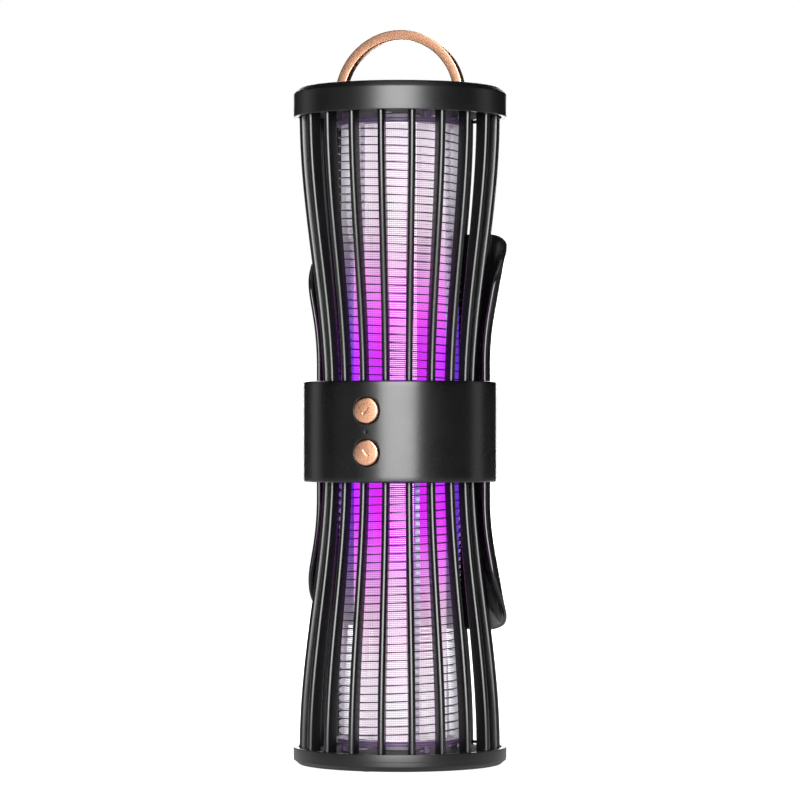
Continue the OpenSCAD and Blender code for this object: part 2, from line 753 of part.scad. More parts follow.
union() { upper() lamp_socket(); lower() lamp_socket(); }  // collar_lamp_sockets
upper() gauze();  // upper_gauze
lower() gauze();  // lower_gauze
upper() mesh_tube();  // upper_mesh_tube
lower() mesh_tube();  // lower_mesh_tube
upper() wires(0);  // upper_live_wires
upper() wires(1);  // upper_return_wires
lower() wires(0);  // lower_live_wires
lower() wires(1);  // lower_return_wires
upper() grid_posts(-18);  // upper_grid_posts
lower() grid_posts(36);  // lower_grid_posts
union() { upper() grid_rings(); lower() grid_rings(); }  // grid_end_rings
upper() end_plate();  // upper_end_plate
lower() rotate([0, 0, 180]) end_plate();  // lower_end_plate
end_plate_screws();
cap_screws();
base_screws();
waist_screws();
collar_screws();
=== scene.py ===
"""An hourglass bug zapper with two lit chambers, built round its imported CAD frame."""
import json
import math

import bpy
import numpy as np
from bpy.props import FloatProperty, FloatVectorProperty, IntProperty, PointerProperty
from bpy.types import Operator, Panel, PropertyGroup
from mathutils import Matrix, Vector


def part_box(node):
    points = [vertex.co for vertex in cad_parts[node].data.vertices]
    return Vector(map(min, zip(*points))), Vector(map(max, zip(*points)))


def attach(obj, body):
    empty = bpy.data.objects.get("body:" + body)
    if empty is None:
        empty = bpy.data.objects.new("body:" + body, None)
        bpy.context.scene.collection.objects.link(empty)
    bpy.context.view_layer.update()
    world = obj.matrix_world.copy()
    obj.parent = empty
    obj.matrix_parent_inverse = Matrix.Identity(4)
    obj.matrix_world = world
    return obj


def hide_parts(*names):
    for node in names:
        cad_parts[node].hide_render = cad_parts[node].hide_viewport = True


bl_info = {
    "name": "Hourglass Bug Zapper",
    "version": (1, 0, 0),
    "blender": (4, 5, 0),
    "location": "3D View > Sidebar > Zapper",
    "description": "Builds the visible pieces of a bug zapper round its CAD frame, "
                   "and their stage",
    "category": "Add Mesh",
}

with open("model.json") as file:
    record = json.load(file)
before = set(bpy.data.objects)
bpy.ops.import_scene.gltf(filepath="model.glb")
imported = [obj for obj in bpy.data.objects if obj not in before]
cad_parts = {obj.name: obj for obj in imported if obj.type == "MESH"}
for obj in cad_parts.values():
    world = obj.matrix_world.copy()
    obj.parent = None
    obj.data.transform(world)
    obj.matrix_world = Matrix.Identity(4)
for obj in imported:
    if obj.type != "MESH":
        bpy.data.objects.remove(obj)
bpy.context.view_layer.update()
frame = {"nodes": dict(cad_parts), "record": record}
BODY = "zapper_body"
MM = 0.001
TAU = 2 * math.pi
SIDES = (("upper", 1), ("lower", -1))

# Sizes of the fixed details, in metres and degrees
GROOVE_DROP, GROOVE_WALL, GROOVE_FLOOR = 2.7 * MM, 2 * MM, 1.5 * MM
CAP_PLATE, LIP_TOP, LIP_FOOT = 3 * MM, 3.6 * MM, 3.2 * MM
FIN_STRAIGHT, FIN_OVERRUN, FIN_EASE = 12 * MM, 1.9 * MM, 0.6 * MM
SHIELD_STRAIGHT, SHIELD_BEND, SHIELD_BEND_R = 30 * MM, 23.4 * MM, 130 * MM
SHIELD_CORNER, SHIELD_HALF_ANGLE, SHIELD_CORNER_ANGLE = 30 * MM, 89, 60
BASE_RIM, BASE_FLOOR, FOOT_SINK = 7.7 * MM, 2.4 * MM, 1 * MM
SCREW_HEAD_R, SCREW_RISE = 2.2 * MM, 0.35 * MM
BUTTON_FLAT, BUTTON_CROWN, BUTTON_ROUND = 0.86, 0.25 * MM, 0.75 * MM
STROKE_HALF, STROKE_WIDE, STROKE_DEEP = 1.5 * MM, 0.42 * MM, 0.32 * MM
LAMP_END, LAMP_END_WALL = 1.8 * MM, 0.28 * MM
WIRE_TURNS, WIRE_LEAD_IN, WIRE_GAP = 31, 20, 0.4 * MM
RING_WIDE, RING_TIP, RING_GROOVE = 4.3 * MM, 2.2 * MM, 0.45 * MM


# --- What the frame says ---

def corners(node):
    """The lowest and highest corner of a CAD node, as two arrays in metres."""
    low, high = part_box(node)
    return np.array(low), np.array(high)


def top_of(node):
    """How high above the collar's middle an upper node ends, in metres."""
    return corners(node)[1][2] - MID_Z


def foot_of(node):
    """How high above the collar's middle an upper node starts, in metres."""
    return corners(node)[0][2] - MID_Z


def reach_of(node):
    """The radius of a round CAD node, in metres."""
    return corners(node)[1][0]


MID_Z = float(corners("collar")[0][2] + corners("collar")[1][2]) / 2
COLLAR_HALF = top_of("collar")
FIN_BOTTOM = foot_of("upper_fins")
FIN_TOP = top_of("upper_fins")
PIVOT_Z = float(corners("handle_pins")[0][2] + corners("handle_pins")[1][2]) / 2
PORT_BACK = corners("port_plug")[1][1]
BUTTON_Z = float(corners("upper_button")[0][2] + corners("upper_button")[1][2]) / 2 - MID_Z


def length(name, text, millimetres, low=0.0, high=500.0):
    """A length property whose default is given in millimetres."""
    return FloatProperty(name=name, description=text, default=millimetres * MM,
                         min=low * MM, max=high * MM, subtype="DISTANCE", unit="LENGTH")


def linear(code):
    """A hex sRGB colour as linear red, green and blue."""
    parts = np.array([int(code[i:i + 2], 16) for i in (1, 3, 5)]) / 255
    return tuple(np.where(parts <= 0.04045, parts / 12.92, ((parts + 0.055) / 1.055) ** 2.4))


def tint(name, text, code):
    """A colour property whose default is a hex sRGB colour."""
    return FloatVectorProperty(name=name, description=text, default=linear(code),
                               size=3, min=0.0, max=1.0, subtype="COLOR")


class ZapperSizes(PropertyGroup):
    """The sizes that the CAD boxes don't give."""
    cap_bevel: length("Cap bevel", "Slope round the cap's top and the base's bottom", 2.5)
    cap_wall: length("Cap wall", "Thickness of the cap's and base's side wall", 2.3)
    cap_lip: length("Cap lip", "How far the cap's lower band stands out", 0.03)
    groove_gap: length("Groove gap", "Space each side of the handle in its groove", 0.5)
    handle_wall: length("Handle wall", "Radial thickness of the half-ring handle", 4.45)
    fin_count: IntProperty(name="Fins", description="Fins round each chamber", default=20,
                           min=6, max=40)
    fin_thick: length("Fin thickness", "Thickness of a fin", 3.1)
    fin_waist_r: length("Fin waist radius", "Outer radius of the fins at the collar", 34.7)
    fin_end_r: length("Fin end radius", "Outer radius of the fins at the cap", 45.5)
    fin_waist_depth: length("Fin waist depth", "Radial depth of a fin at the collar", 4.5)
    fin_end_depth: length("Fin end depth", "Radial depth of a fin at the cap", 6.0)
    collar_wall: length("Collar wall", "Thickness of the collar", 2.3)
    collar_bevel: length("Collar bevel", "Rounding of the collar's two edges", 0.7)
    button_r: length("Button radius", "Radius of a button's face", 5.7)
    hole_gap: length("Button gap", "Space round a button in its hole", 0.3)
    shield_thick: length("Shield thickness", "Thickness of the two curved shields", 2.2)
    shield_r: length("Shield radius", "Outer radius of a shield where it is straight", 40.9)
    lamp_r: length("Lamp radius", "Radius of the lamp tube", 7.9)
    mesh_pitch: length("Mesh pitch", "Spacing of the wires in the woven meshes", 0.9, 0.3)
    tube_wire: length("Tube wire", "Wire diameter of the inner mesh tube", 0.52)
    gauze_wire: length("Gauze wire", "Wire diameter of the outer gauze", 0.17)
    grid_r: length("Grid radius", "Radius of the high-voltage winding", 27.5)
    grid_wire: length("Grid wire", "Diameter of the high-voltage wire", 0.56)
    grid_step: length("Grid step", "Spacing of the winding", 3.65)


class ZapperColours(PropertyGroup):
    """The colours of the finishes, as sRGB hex turned to linear."""
    shell: tint("Shell", "Satin black ABS of the cap and base", "#050506")
    collar: tint("Collar", "Satin black ABS of the collar", "#040405")
    fin: tint("Fins", "Semi-gloss black ABS of the fins", "#08080A")
    shield: tint("Shields", "Gloss black ABS of the shields", "#101012")
    rose_gold: tint("Rose gold", "Anodised aluminium of the handle and buttons", "#DDA686")
    inner: tint("Inner plastic", "Glass-filled nylon inside", "#232327")
    lamp_cap: tint("Lamp near the caps", "Light of the tubes near the caps", "#FFF6FF")
    lamp_band: tint("Lamp near the collar", "Light of the tubes near the collar", "#FFF0E8")
    glow_0: tint("Mesh at the collar", "Light on the inner mesh at the collar", "#E808FF")
    glow_1: tint("Mesh above the collar", "Light on the inner mesh a tenth of the way out",
                 "#F010FF")
    glow_2: tint("Mesh lower part", "Light on the inner mesh a fifth of the way out", "#FF46FF")
    glow_3: tint("Mesh middle", "Light on the inner mesh near the middle", "#FA90EF")
    glow_4: tint("Mesh past the middle", "Light on the inner mesh past the middle", "#F5C2EA")
    glow_5: tint("Mesh near the caps", "Light on the inner mesh near the caps", "#F3DFEE")
    halo_band: tint("Gauze near the collar", "Light on the gauze near the collar", "#7A3CF0")
    steel: tint("Steel", "Stainless wire cloth", "#B9B9C0")


class StageSettings(PropertyGroup):
    """Where the camera stands and how strong the lights are."""
    azimuth: FloatProperty(name="Azimuth", description="Camera angle from the front, to the right",
                           default=math.radians(20), subtype="ANGLE", unit="ROTATION")
    distance: length("Distance", "Camera distance from the axis", 1668, 500, 5000)
    pitch: FloatProperty(name="Pitch", description="Upward tilt of the camera",
                         default=math.radians(0.49), subtype="ANGLE", unit="ROTATION")
    lens: FloatProperty(name="Lens", description="Focal length in mm", default=166.5,
                        min=20, max=400)
    front: FloatProperty(name="Front light", description="Radiance of the front softbox",
                         default=13.4, min=0.0)
    wing: FloatProperty(name="Wing light", description="Radiance of the softbox that carries "
                        "the front light round to the left", default=0.5, min=0.0)
    fill: FloatProperty(name="Fill light", description="Radiance of the left fill softbox",
                        default=0.2, min=0.0)
    rim: FloatProperty(name="Rim lights", description="Radiance of the side softboxes",
                       default=0.7, min=0.0)
    back: FloatProperty(name="Back light", description="Radiance of the strip behind",
                        default=6.0, min=0.0)
    top: FloatProperty(name="Top light", description="Radiance of the top softbox",
                       default=2.5, min=0.0)
    dim: FloatProperty(name="Surroundings", description="Radiance of the white surroundings "
                       "as a light", default=0.02, min=0.0)


def sizes():
    return bpy.context.scene.zapper_sizes


def colours():
    return bpy.context.scene.zapper_colours


# --- Meshes from arrays ---

def skin(points, wrap_rows=False, wrap_columns=False):
    """Quads over a grid of points, rows by columns by xyz, closed round either way."""
    rows, columns = points.shape[:2]
    index = np.arange(rows * columns).reshape(rows, columns)
    if wrap_rows:
        index = np.vstack([index, index[:1]])
    if wrap_columns:
        index = np.hstack([index, index[:, :1]])
    quads = np.stack([index[:-1, :-1], index[1:, :-1], index[1:, 1:], index[:-1, 1:]], -1)
    return points.reshape(-1, 3), quads.reshape(-1, 4)


def outward(part):
    """A closed part with its faces turned outwards: the sum over its faces of corner dot
    (corner cross corner) is six times its volume, and a negative one turns every face over."""
    points, quads = part
    a, b, c, d = (points[quads[:, k]] for k in range(4))
    volume = (a * np.cross(b, c)).sum() + (a * np.cross(c, d)).sum()
    return (points, quads[:, ::-1]) if volume < 0 else part


def joined(parts):
    """Several closed parts as one list of points and quads."""
    offsets = np.cumsum([0] + [len(points) for points, _ in parts[:-1]])
    return (np.vstack([points for points, _ in parts]),
            np.vstack([quads + k for (_, quads), k in zip(parts, offsets)]))


def add_piece(name, parts, material, replaced=(), body=BODY, sharp=38):
    """One object from closed parts: points that coincide are merged, a quad that lost a corner
    becomes a triangle, and edges sharper than the angle stay sharp."""
    points, quads = joined([outward(part) for part in parts])
    _, first, merged = np.unique(np.round(points, 8), axis=0, return_index=True,
                                 return_inverse=True)
    points, quads = points[first], merged.reshape(-1)[quads]
    keep = quads != np.roll(quads, 1, axis=1)
    corners_left = keep.sum(1)
    used = corners_left >= 3
    counts = corners_left[used]
    loops = quads[used][keep[used]]
    mesh = bpy.data.meshes.new(name)
    mesh.vertices.add(len(points))
    mesh.vertices.foreach_set("co", points.astype(np.float32).ravel())
    mesh.loops.add(len(loops))
    mesh.loops.foreach_set("vertex_index", loops.astype(np.int32))
    mesh.polygons.add(len(counts))
    mesh.polygons.foreach_set("loop_start", np.concatenate([[0], np.cumsum(counts)[:-1]])
                              .astype(np.int32))
    mesh.update(calc_edges=True)
    mesh.validate()
    mesh.shade_smooth()
    mesh.set_sharp_from_angle(angle=math.radians(sharp))
    piece = bpy.data.objects.new(name, mesh)
    bpy.context.scene.collection.objects.link(piece)
    mesh.materials.append(material)
    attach(piece, body)
    if replaced:
        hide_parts(*replaced)
    return piece


def softened(outline, cuts, steps=4):
    """A polygon with softened corners: each corner becomes a quadratic curve that starts and
    ends the corner's cut away from it, p = (1-s)^2 a + 2s(1-s) corner + s^2 b."""
    outline = np.asarray(outline, float)
    cuts = np.broadcast_to(np.asarray(cuts, float), len(outline))[:, None]
    before = np.roll(outline, 1, axis=0) - outline
    after = np.roll(outline, -1, axis=0) - outline
    a = outline + before / np.linalg.norm(before, axis=1, keepdims=True) * cuts
    b = outline + after / np.linalg.norm(after, axis=1, keepdims=True) * cuts
    s = np.linspace(0, 1, steps + 1)[None, :, None]
    curve = (1 - s) ** 2 * a[:, None] + 2 * s * (1 - s) * outline[:, None] + s ** 2 * b[:, None]
    return curve.reshape(-1, 2)


def lathe(profile, segments=256, closed=True):
    """A profile of (radius, height) turned about Z: x = r sin a, y = -r cos a, z = height."""
    profile = np.asarray(profile, float)
    angle = np.arange(segments) * TAU / segments
    points = np.stack([profile[:, :1] * np.sin(angle), -profile[:, :1] * np.cos(angle),
                       np.broadcast_to(profile[:, 1:], (len(profile), segments))], -1)
    return skin(points, wrap_rows=closed, wrap_columns=True)


def capped(rows):
    """Closed loops lofted in order, with each end drawn to its middle point."""
    ends = [np.broadcast_to(rows[k].mean(0), rows[k].shape)[None] for k in (0, -1)]
    return skin(np.concatenate([ends[0], rows, ends[1]]), wrap_columns=True)


def aimed(part, origin, towards):
    """A part modelled along +Z, turned so +Z points towards a direction, and moved."""
    points, quads = part
    turn = np.array(Vector((0, 0, 1)).rotation_difference(Vector(towards)).to_matrix())
    return points @ turn.T + np.asarray(origin, float), quads


def raised(part, side):
    """A part modelled from the collar's middle, placed in the upper or the lower chamber."""
    points, quads = part
    return points * (1, 1, side) + (0, 0, MID_Z), quads


def about(part, angle):
    """A part turned about the Z axis, anticlockwise from above."""
    points, quads = part
    c, s = math.cos(angle), math.sin(angle)
    return points @ np.array([[c, s, 0], [-s, c, 0], [0, 0, 1]]), quads


# --- Finishes ---

def node(tree, kind, sockets=None, **settings):
    """One shader node with its settings; a socket given as another node's output is linked."""
    made = tree.nodes.new(kind)
    for key, value in settings.items():
        setattr(made, key, value)
    for key, value in (sockets or {}).items():
        if isinstance(value, bpy.types.NodeSocket):
            tree.links.new(value, made.inputs[key])
        else:
            made.inputs[key].default_value = value
    return made


def blank(name, **sockets):
    """A new material with one Principled shader and Object coordinates."""
    material = bpy.data.materials.new(name)
    material.use_nodes = True
    tree = material.node_tree
    tree.nodes.clear()
    shader = node(tree, "ShaderNodeBsdfPrincipled", {k.replace("_", " "): v
                                                     for k, v in sockets.items()})
    node(tree, "ShaderNodeOutputMaterial", {"Surface": shader.outputs["BSDF"]})
    place = node(tree, "ShaderNodeTexCoord").outputs["Object"]
    return material, tree, shader, place


def rgba(colour, scale=1.0):
    return tuple(min(1.0, part * scale) for part in colour[:3]) + (1.0,)


def ramp(tree, factor, *stops):
    """A colour ramp: each stop is a position and a linear colour."""
    made = node(tree, "ShaderNodeValToRGB", {"Fac": factor})
    elements = made.color_ramp.elements
    while len(elements) < len(stops):
        elements.new(0.5)
    for element, (position, colour) in zip(elements, stops):
        element.position = position
        element.color = rgba(colour)
    return made.outputs["Color"]


def spread(tree, value, low, high):
    """A 0 to 1 value mapped to a range."""
    return node(tree, "ShaderNodeMapRange", {"Value": value, "To Min": low, "To Max": high}
                ).outputs["Result"]


def noise(tree, place, grain_mm, detail=2.0, stretch=(1, 1, 1)):
    """Noise whose grain is a size in millimetres, stretched along the axes."""
    scaled = node(tree, "ShaderNodeMapping", {"Vector": place, "Scale": stretch})
    return node(tree, "ShaderNodeTexNoise", {"Vector": scaled.outputs["Vector"],
                                             "Scale": 1 / (grain_mm * MM), "Detail": detail}
                ).outputs["Fac"]


def bumped(tree, shader, height, depth_mm, strength=1.0):
    """A bump of a real depth in millimetres."""
    bump = node(tree, "ShaderNodeBump", {"Height": height, "Distance": depth_mm * MM,
                                         "Strength": strength})
    tree.links.new(bump.outputs["Normal"], shader.inputs["Normal"])


def moulded(name, colour, roughness, grain_mm=0.9, depth_mm=0.012, vary=0.12, wear=0.04, **more):
    """Injection-moulded plastic: a spark-eroded grain, faint flow clouds in the colour, and
    roughness that drifts where hands have polished it."""
    material, tree, shader, place = blank(name, IOR=1.53, **more)
    clouds = noise(tree, place, 18, 3)
    grain = noise(tree, place, grain_mm, 2)
    tone = ramp(tree, clouds, (0.3, [part * (1 - vary) for part in colour]),
                (0.7, [part * (1 + vary) for part in colour]))
    tree.links.new(tone, shader.inputs["Base Color"])
    tree.links.new(spread(tree, clouds, roughness - wear, roughness + wear),
                   shader.inputs["Roughness"])
    bumped(tree, shader, grain, depth_mm)
    return material


def metal(name, colour, roughness, grain_mm=0.35, stretch=(1, 1, 1), depth_mm=0.004, vary=0.07,
          **more):
    """Worked metal: fine drawn or brushed lines in the roughness and the bump."""
    material, tree, shader, place = blank(name, Metallic=1.0, **more)
    lines = noise(tree, place, grain_mm, 3, stretch)
    tone = ramp(tree, lines, (0.25, [part * (1 - vary) for part in colour]),
                (0.75, [part * (1 + vary) for part in colour]))
    tree.links.new(tone, shader.inputs["Base Color"])
    tree.links.new(spread(tree, lines, roughness - 0.06, roughness + 0.08),
                   shader.inputs["Roughness"])
    bumped(tree, shader, lines, depth_mm)
    return material


def height_share(tree, place):
    """0 at the collar to 1 at the cap or base, worked out from the height on the object."""
    split = node(tree, "ShaderNodeSeparateXYZ", {"Vector": place})
    offset = node(tree, "ShaderNodeMath", {0: split.outputs["Z"], 1: MID_Z}, operation="SUBTRACT")
    size = node(tree, "ShaderNodeMath", {0: offset.outputs[0]}, operation="ABSOLUTE")
    return node(tree, "ShaderNodeMapRange", {"Value": size.outputs[0], "From Min": COLLAR_HALF,
                                             "From Max": FIN_TOP}).outputs["Result"]


def lit(material, tree, shader, place, stops, strengths):
    """Light that changes from the collar to the cap: colours by stop, and a strength ramp."""
    share = height_share(tree, place)
    tree.links.new(ramp(tree, share, *stops), shader.inputs["Emission Color"])
    tree.links.new(spread(tree, share, *strengths), shader.inputs["Emission Strength"])
    return material


def mixed(a, b, share):
    return [x + (y - x) * share for x, y in zip(a, b)]


def dimmed(colour, share):
    return mixed((0, 0, 0), colour, share)


FINISHES = {}


def finish(name):
    """The named finish, made once."""
    if name not in FINISHES:
        FINISHES[name] = MAKERS[name]()
    return FINISHES[name]


def lamp_glass():
    # Quartz lamp tube with its discharge lit: brightest and whitest towards the caps
    c = colours()
    material, tree, shader, place = blank("Lit_quartz_glass", Base_Color=rgba(c.lamp_cap),
                                          Roughness=0.12, IOR=1.46)
    return lit(material, tree, shader, place,
               ((0.0, c.lamp_band), (0.55, mixed(c.lamp_band, c.lamp_cap, 0.7)),
                (0.85, c.lamp_cap)), (2.4, 1.25))


def lit_mesh():
    # Woven stainless cloth close round the lamp: the light that scatters in the weave is painted
    # on as a glow, so the wires themselves look lit, magenta by the collar and almost white by the
    # caps
    c = colours()
    material, tree, shader, place = blank("Lit_woven_steel", Metallic=0.4, Roughness=0.45,
                                          Base_Color=rgba(c.steel, 0.12))
    return lit(material, tree, shader, place,
               ((0.0, c.glow_0), (0.1, c.glow_1), (0.22, c.glow_2), (0.37, c.glow_3),
                (0.52, c.glow_4), (0.67, c.glow_5)), (1.1, 0.98))


def gauze_steel():
    # Finer stainless gauze outside it: plain grey by the caps, with the lamp's violet light
    # painted on by the collar, as a painted violet glow and a base colour that is darker and
    # violet towards the collar
    c = colours()
    material, tree, shader, place = blank("Woven_steel_gauze", Metallic=0.5, Roughness=0.45)
    share = height_share(tree, place)
    # Painted shade and painted violet light: the base colour darkens and turns violet towards the
    # collar
    tree.links.new(ramp(tree, share, (0.1, dimmed(c.halo_band, 0.1)),
                        (0.5, dimmed(c.steel, 0.5)), (0.8, c.steel)),
                   shader.inputs["Base Color"])
    # Painted glow: violet light near the collar, fading to a faint grey light towards the caps
    return lit(material, tree, shader, place,
               ((0.0, c.halo_band), (0.2, c.halo_band),
                (0.38, dimmed(mixed(c.halo_band, c.steel, 0.4), 0.5)),
                (0.52, dimmed(c.steel, 0.3)), (0.69, dimmed(c.steel, 0.6)),
                (0.85, c.steel)), (0.75, 0.12))


def comb_nylon():
    # Natural nylon combs: milky, with the lamp's light through them painted on as a glow, violet
    # by the collar
    c = colours()
    material, tree, shader, place = blank("Natural_nylon", Roughness=0.45, IOR=1.53)
    milk = linear("#8A8292")
    tree.links.new(ramp(tree, noise(tree, place, 3), (0.3, milk),
                        (0.7, mixed(milk, c.steel, 0.4))), shader.inputs["Base Color"])
    return lit(material, tree, shader, place,
               ((0.0, c.halo_band), (0.4, mixed(c.halo_band, c.glow_5, 0.5)),
                (0.7, c.glow_5)), (0.35, 0.1))


def solder_mask():
    # Green epoxy solder mask over fibreglass: glossy, with copper tracks showing as paler lines
    material, tree, shader, place = blank("Solder_mask", Roughness=0.28, IOR=1.5)
    tracks_per_metre = 220.0
    tracks = node(tree, "ShaderNodeTexBrick", {"Vector": place, "Scale": tracks_per_metre,
                                               "Mortar Size": 0.03})
    green = rgba(linear("#1F5A34"))
    tracks.inputs["Color1"].default_value = tracks.inputs["Color2"].default_value = green
    tracks.inputs["Mortar"].default_value = rgba(linear("#3B8050"))
    tree.links.new(tracks.outputs["Color"], shader.inputs["Base Color"])
    bumped(tree, shader, tracks.outputs["Fac"], 0.02)
    return material


MAKERS = {
    # ABS moulded in a fine spark-eroded tool: soft wide highlights with a faint grain
    "satin_black_shell": lambda: moulded("Satin_ABS", colours().shell, 0.36),
    # The same ABS in a finer tool, so the light runs across the band in one smooth sweep
    "satin_black_collar": lambda: moulded("Fine_satin_ABS", colours().collar, 0.28, 0.7, 0.005),
    # ABS from a polished tool: each rounded edge draws one narrow bright line
    "black_fins": lambda: moulded("Semi_gloss_ABS", colours().fin, 0.24, 1.2, 0.003),
    # ABS from a mirror-polished tool: near-black face, clear reflections with slight waviness
    "black_shield": lambda: moulded("Gloss_ABS", colours().shield, 0.14, 6.0, 0.004, wear=0.03),
    # Anodised aluminium, brushed before dyeing: warm metal with soft streaked highlights
    "rose_gold": lambda: metal(
        "Anodised_aluminium", colours().rose_gold, 0.27, 0.5, (1, 0.12, 1), 0.0015, 0.03),
    # Zinc-plated screws: cool grey, slightly uneven
    "screw_steel": lambda: metal("Zinc_plated_steel", linear("#9A9B9E"), 0.34, 0.6),
    # Glass-filled nylon: matt, with a coarse cloudy surface that gives almost no shine
    "inner_plastic": lambda: moulded(
        "Glass_filled_nylon", colours().inner, 0.7, 0.8, 0.02, Specular_IOR_Level=0.1),
    # Drawn aluminium end cap of the tube
    "lamp_metal": lambda: metal("Drawn_aluminium", linear("#B8B8BE"), 0.3, 0.5, (1, 1, 0.2)),
    # Grey polycarbonate lamp holder
    "holder_grey": lambda: moulded("Grey_polycarbonate", linear("#9A9A9E"), 0.4, 1.0, 0.01),
    # Drawn high-voltage wire, dulled by use
    "grid_wire": lambda: metal("Drawn_steel_wire", linear("#3A3640"), 0.42, 0.6),
    # Dark nylon rings that close the winding
    "grid_plastic": lambda: moulded("Dark_nylon", linear("#5E4A6C"), 0.42, 0.8, 0.01),
    # Black nylon switch body
    "switch_black": lambda: moulded("Switch_nylon", linear("#1C1C1C"), 0.5),
    # White acetal plungers: waxy sheen
    "plunger_white": lambda: moulded("White_acetal", linear("#DAD6CC"), 0.4, 1.0, 0.006),
    # Smoked acrylic light guide, seen end on as a dark glossy dot
    "light_guide": lambda: moulded("Smoked_acrylic", linear("#101014"), 0.12, 2.0, 0.001),
    # PVC shrink wrap: stretched tight, with faint long ripples
    "cell_wrap": lambda: moulded("Shrink_wrap", linear("#3F7FAE"), 0.3, 5.0, 0.03),
    # Silicone lead insulation: matt red
    "lead_insulation": lambda: moulded("Silicone_insulation", linear("#A33030"), 0.55),
    # Cast epoxy: smooth and faintly wavy
    "potting": lambda: moulded("Potting_epoxy", linear("#26303A"), 0.25, 6.0, 0.03),
    # Nickel-plated drawn steel shell
    "socket_steel": lambda: metal("Nickel_plated_steel", linear("#B9BBBF"), 0.26, 0.5),
    # Moulded silicone rubber: matt, with a dry fine grain
    "soft_rubber": lambda: moulded("Silicone_rubber", linear("#2C2C2E"), 0.62, 0.6, 0.02),
    "lamp_glass": lamp_glass,
    "lit_mesh": lit_mesh,
    "mesh_steel": gauze_steel,
    "comb": comb_nylon,
    "circuit_board": solder_mask,
}


# --- Shapes of the pieces ---

def cap_shape():
    """The cap's profile turned about Z: a side wall with a lip, a bevelled rim, a flat top and
    the handle's ring groove."""
    s = sizes()
    low, high = corners("top_cap")
    top, rim, out = high[2], low[2], high[0]
    bevel, wall, lip = s.cap_bevel, s.cap_wall, s.cap_lip
    ring_out = reach_of("handle") + s.groove_gap
    ring_in = reach_of("handle") - s.handle_wall - s.groove_gap
    floor = PIVOT_Z - GROOVE_DROP
    plate = top - CAP_PLATE
    rows = [
        (0, top, 0), (ring_in, top, 0.25), (ring_in, floor, 0.3), (ring_out, floor, 0.3),
        (ring_out, top, 0.25), (out - lip - bevel, top, 0.5), (out - lip, top - bevel, 0.5),
        (out - lip, rim + LIP_TOP, 0.1), (out, rim + LIP_FOOT, 0.1), (out, rim, 0.35),
        (out - wall, rim, 0.35), (out - wall, plate, 0.5),
        (ring_out + GROOVE_WALL, plate, 0.3), (ring_out + GROOVE_WALL, floor - GROOVE_FLOOR, 0.3),
        (ring_in - GROOVE_WALL, floor - GROOVE_FLOOR, 0.3), (ring_in - GROOVE_WALL, plate, 0.3),
        (0, plate, 0)]
    profile = softened([row[:2] for row in rows], [row[2] * MM for row in rows], 5)
    return lathe(profile, 320, closed=False)


def handle_shape():
    """A rounded-rectangle section carried over a half circle about the pivot, and down past it,
    where its width closes as a half disc: width = w cos t at depth -w sin t."""
    s = sizes()
    out = reach_of("handle")
    half = corners("handle")[1][1]
    middle = out - s.handle_wall / 2
    section = softened([(-1, -1), (1, -1), (1, 1), (-1, 1)], 0.22, 5)
    sweep = np.radians(np.linspace(0, 180, 97))
    arc = np.stack([middle * np.cos(sweep), middle * np.sin(sweep)], -1)
    drop = np.radians(np.linspace(86, 6, 14))
    right = np.stack([np.full(14, middle), -half * 0.96 * np.sin(drop)], -1)
    centre = np.concatenate([right, arc, (right * (-1, 1))[::-1]])
    away = np.concatenate([np.tile([1.0, 0], (14, 1)), arc / middle, np.tile([-1.0, 0], (14, 1))])
    width = np.concatenate([half * np.cos(drop), np.full(97, half), half * np.cos(drop)[::-1]])
    radial = section[None, :, :1] * s.handle_wall / 2
    flat = centre[:, None] + away[:, None] * radial
    across = section[None, :, 1] * width[:, None]
    rows = np.stack([flat[..., 0], across, flat[..., 1] + PIVOT_Z], -1)
    return capped(rows)


def fin_radii(height):
    """Outer and inner radius of a fin: mean - swing cos(180 t), with t the share of the way
    from where the fin stops being straight to the end ring's top."""
    s = sizes()
    span = FIN_TOP + FIN_OVERRUN - FIN_STRAIGHT
    t = np.clip((height - FIN_STRAIGHT) / span, 0, 1)
    swing = -np.cos(np.pi * t)
    outer = (s.fin_end_r + s.fin_waist_r + (s.fin_end_r - s.fin_waist_r) * swing) / 2
    inner_waist, inner_end = s.fin_waist_r - s.fin_waist_depth, s.fin_end_r - s.fin_end_depth
    return outer, (inner_end + inner_waist + (inner_end - inner_waist) * swing) / 2


def fin_shape():
    """One fin at the front: at each height a section with a full round nose outside and eased
    corners inside, carried from the collar to the cap."""
    half = sizes().fin_thick / 2
    heights = np.linspace(FIN_BOTTOM, FIN_TOP, 60)
    outer, inner = (r[:, None] for r in fin_radii(heights))
    nose = np.radians(np.linspace(-90, 90, 15))
    ease = FIN_EASE
    turn = np.radians(np.linspace(0, 90, 4))
    radial = np.concatenate([outer - half + half * np.cos(nose),
                             inner + ease * (1 - np.sin(turn)),
                             inner + ease * (1 - np.cos(turn))], axis=1)
    across = np.concatenate([half * np.sin(nose), half - ease * (1 - np.cos(turn)),
                             -half + ease * (1 - np.sin(turn))])
    rows = np.stack([np.broadcast_to(across, radial.shape), -radial,
                     np.broadcast_to(heights[:, None], radial.shape)], -1)
    return capped(rows)


def collar_holes():
    """Each hole in the collar as (middle angle in degrees, columns each side, lowest and highest
    row, middle height, half width, half height, corner radius), lengths in millimetres."""
    s = sizes()
    button = s.button_r / MM + s.hole_gap / MM
    z = BUTTON_Z / MM
    holes = [(0, 10, z - 7.2, z + 7.2, z, button, button, button),
             (0, 10, -z - 7.2, 7.2 - z, -z, button, button, button),
             (0, 3, -2.1, 2.1, 0, 0.7, 0.7, 0.7),
             (180, 14, -5.7, 5.7, 0, 6.9, 3.6, 1.1)]
    return holes + [(a, 5, side * 12 - 3.9, side * 12 + 3.3 if side > 0 else side * 12 + 3.9,
                     side * 12, 2.3, 2.3, 2.3) for a in (145, 215) for side in (1, -1)]


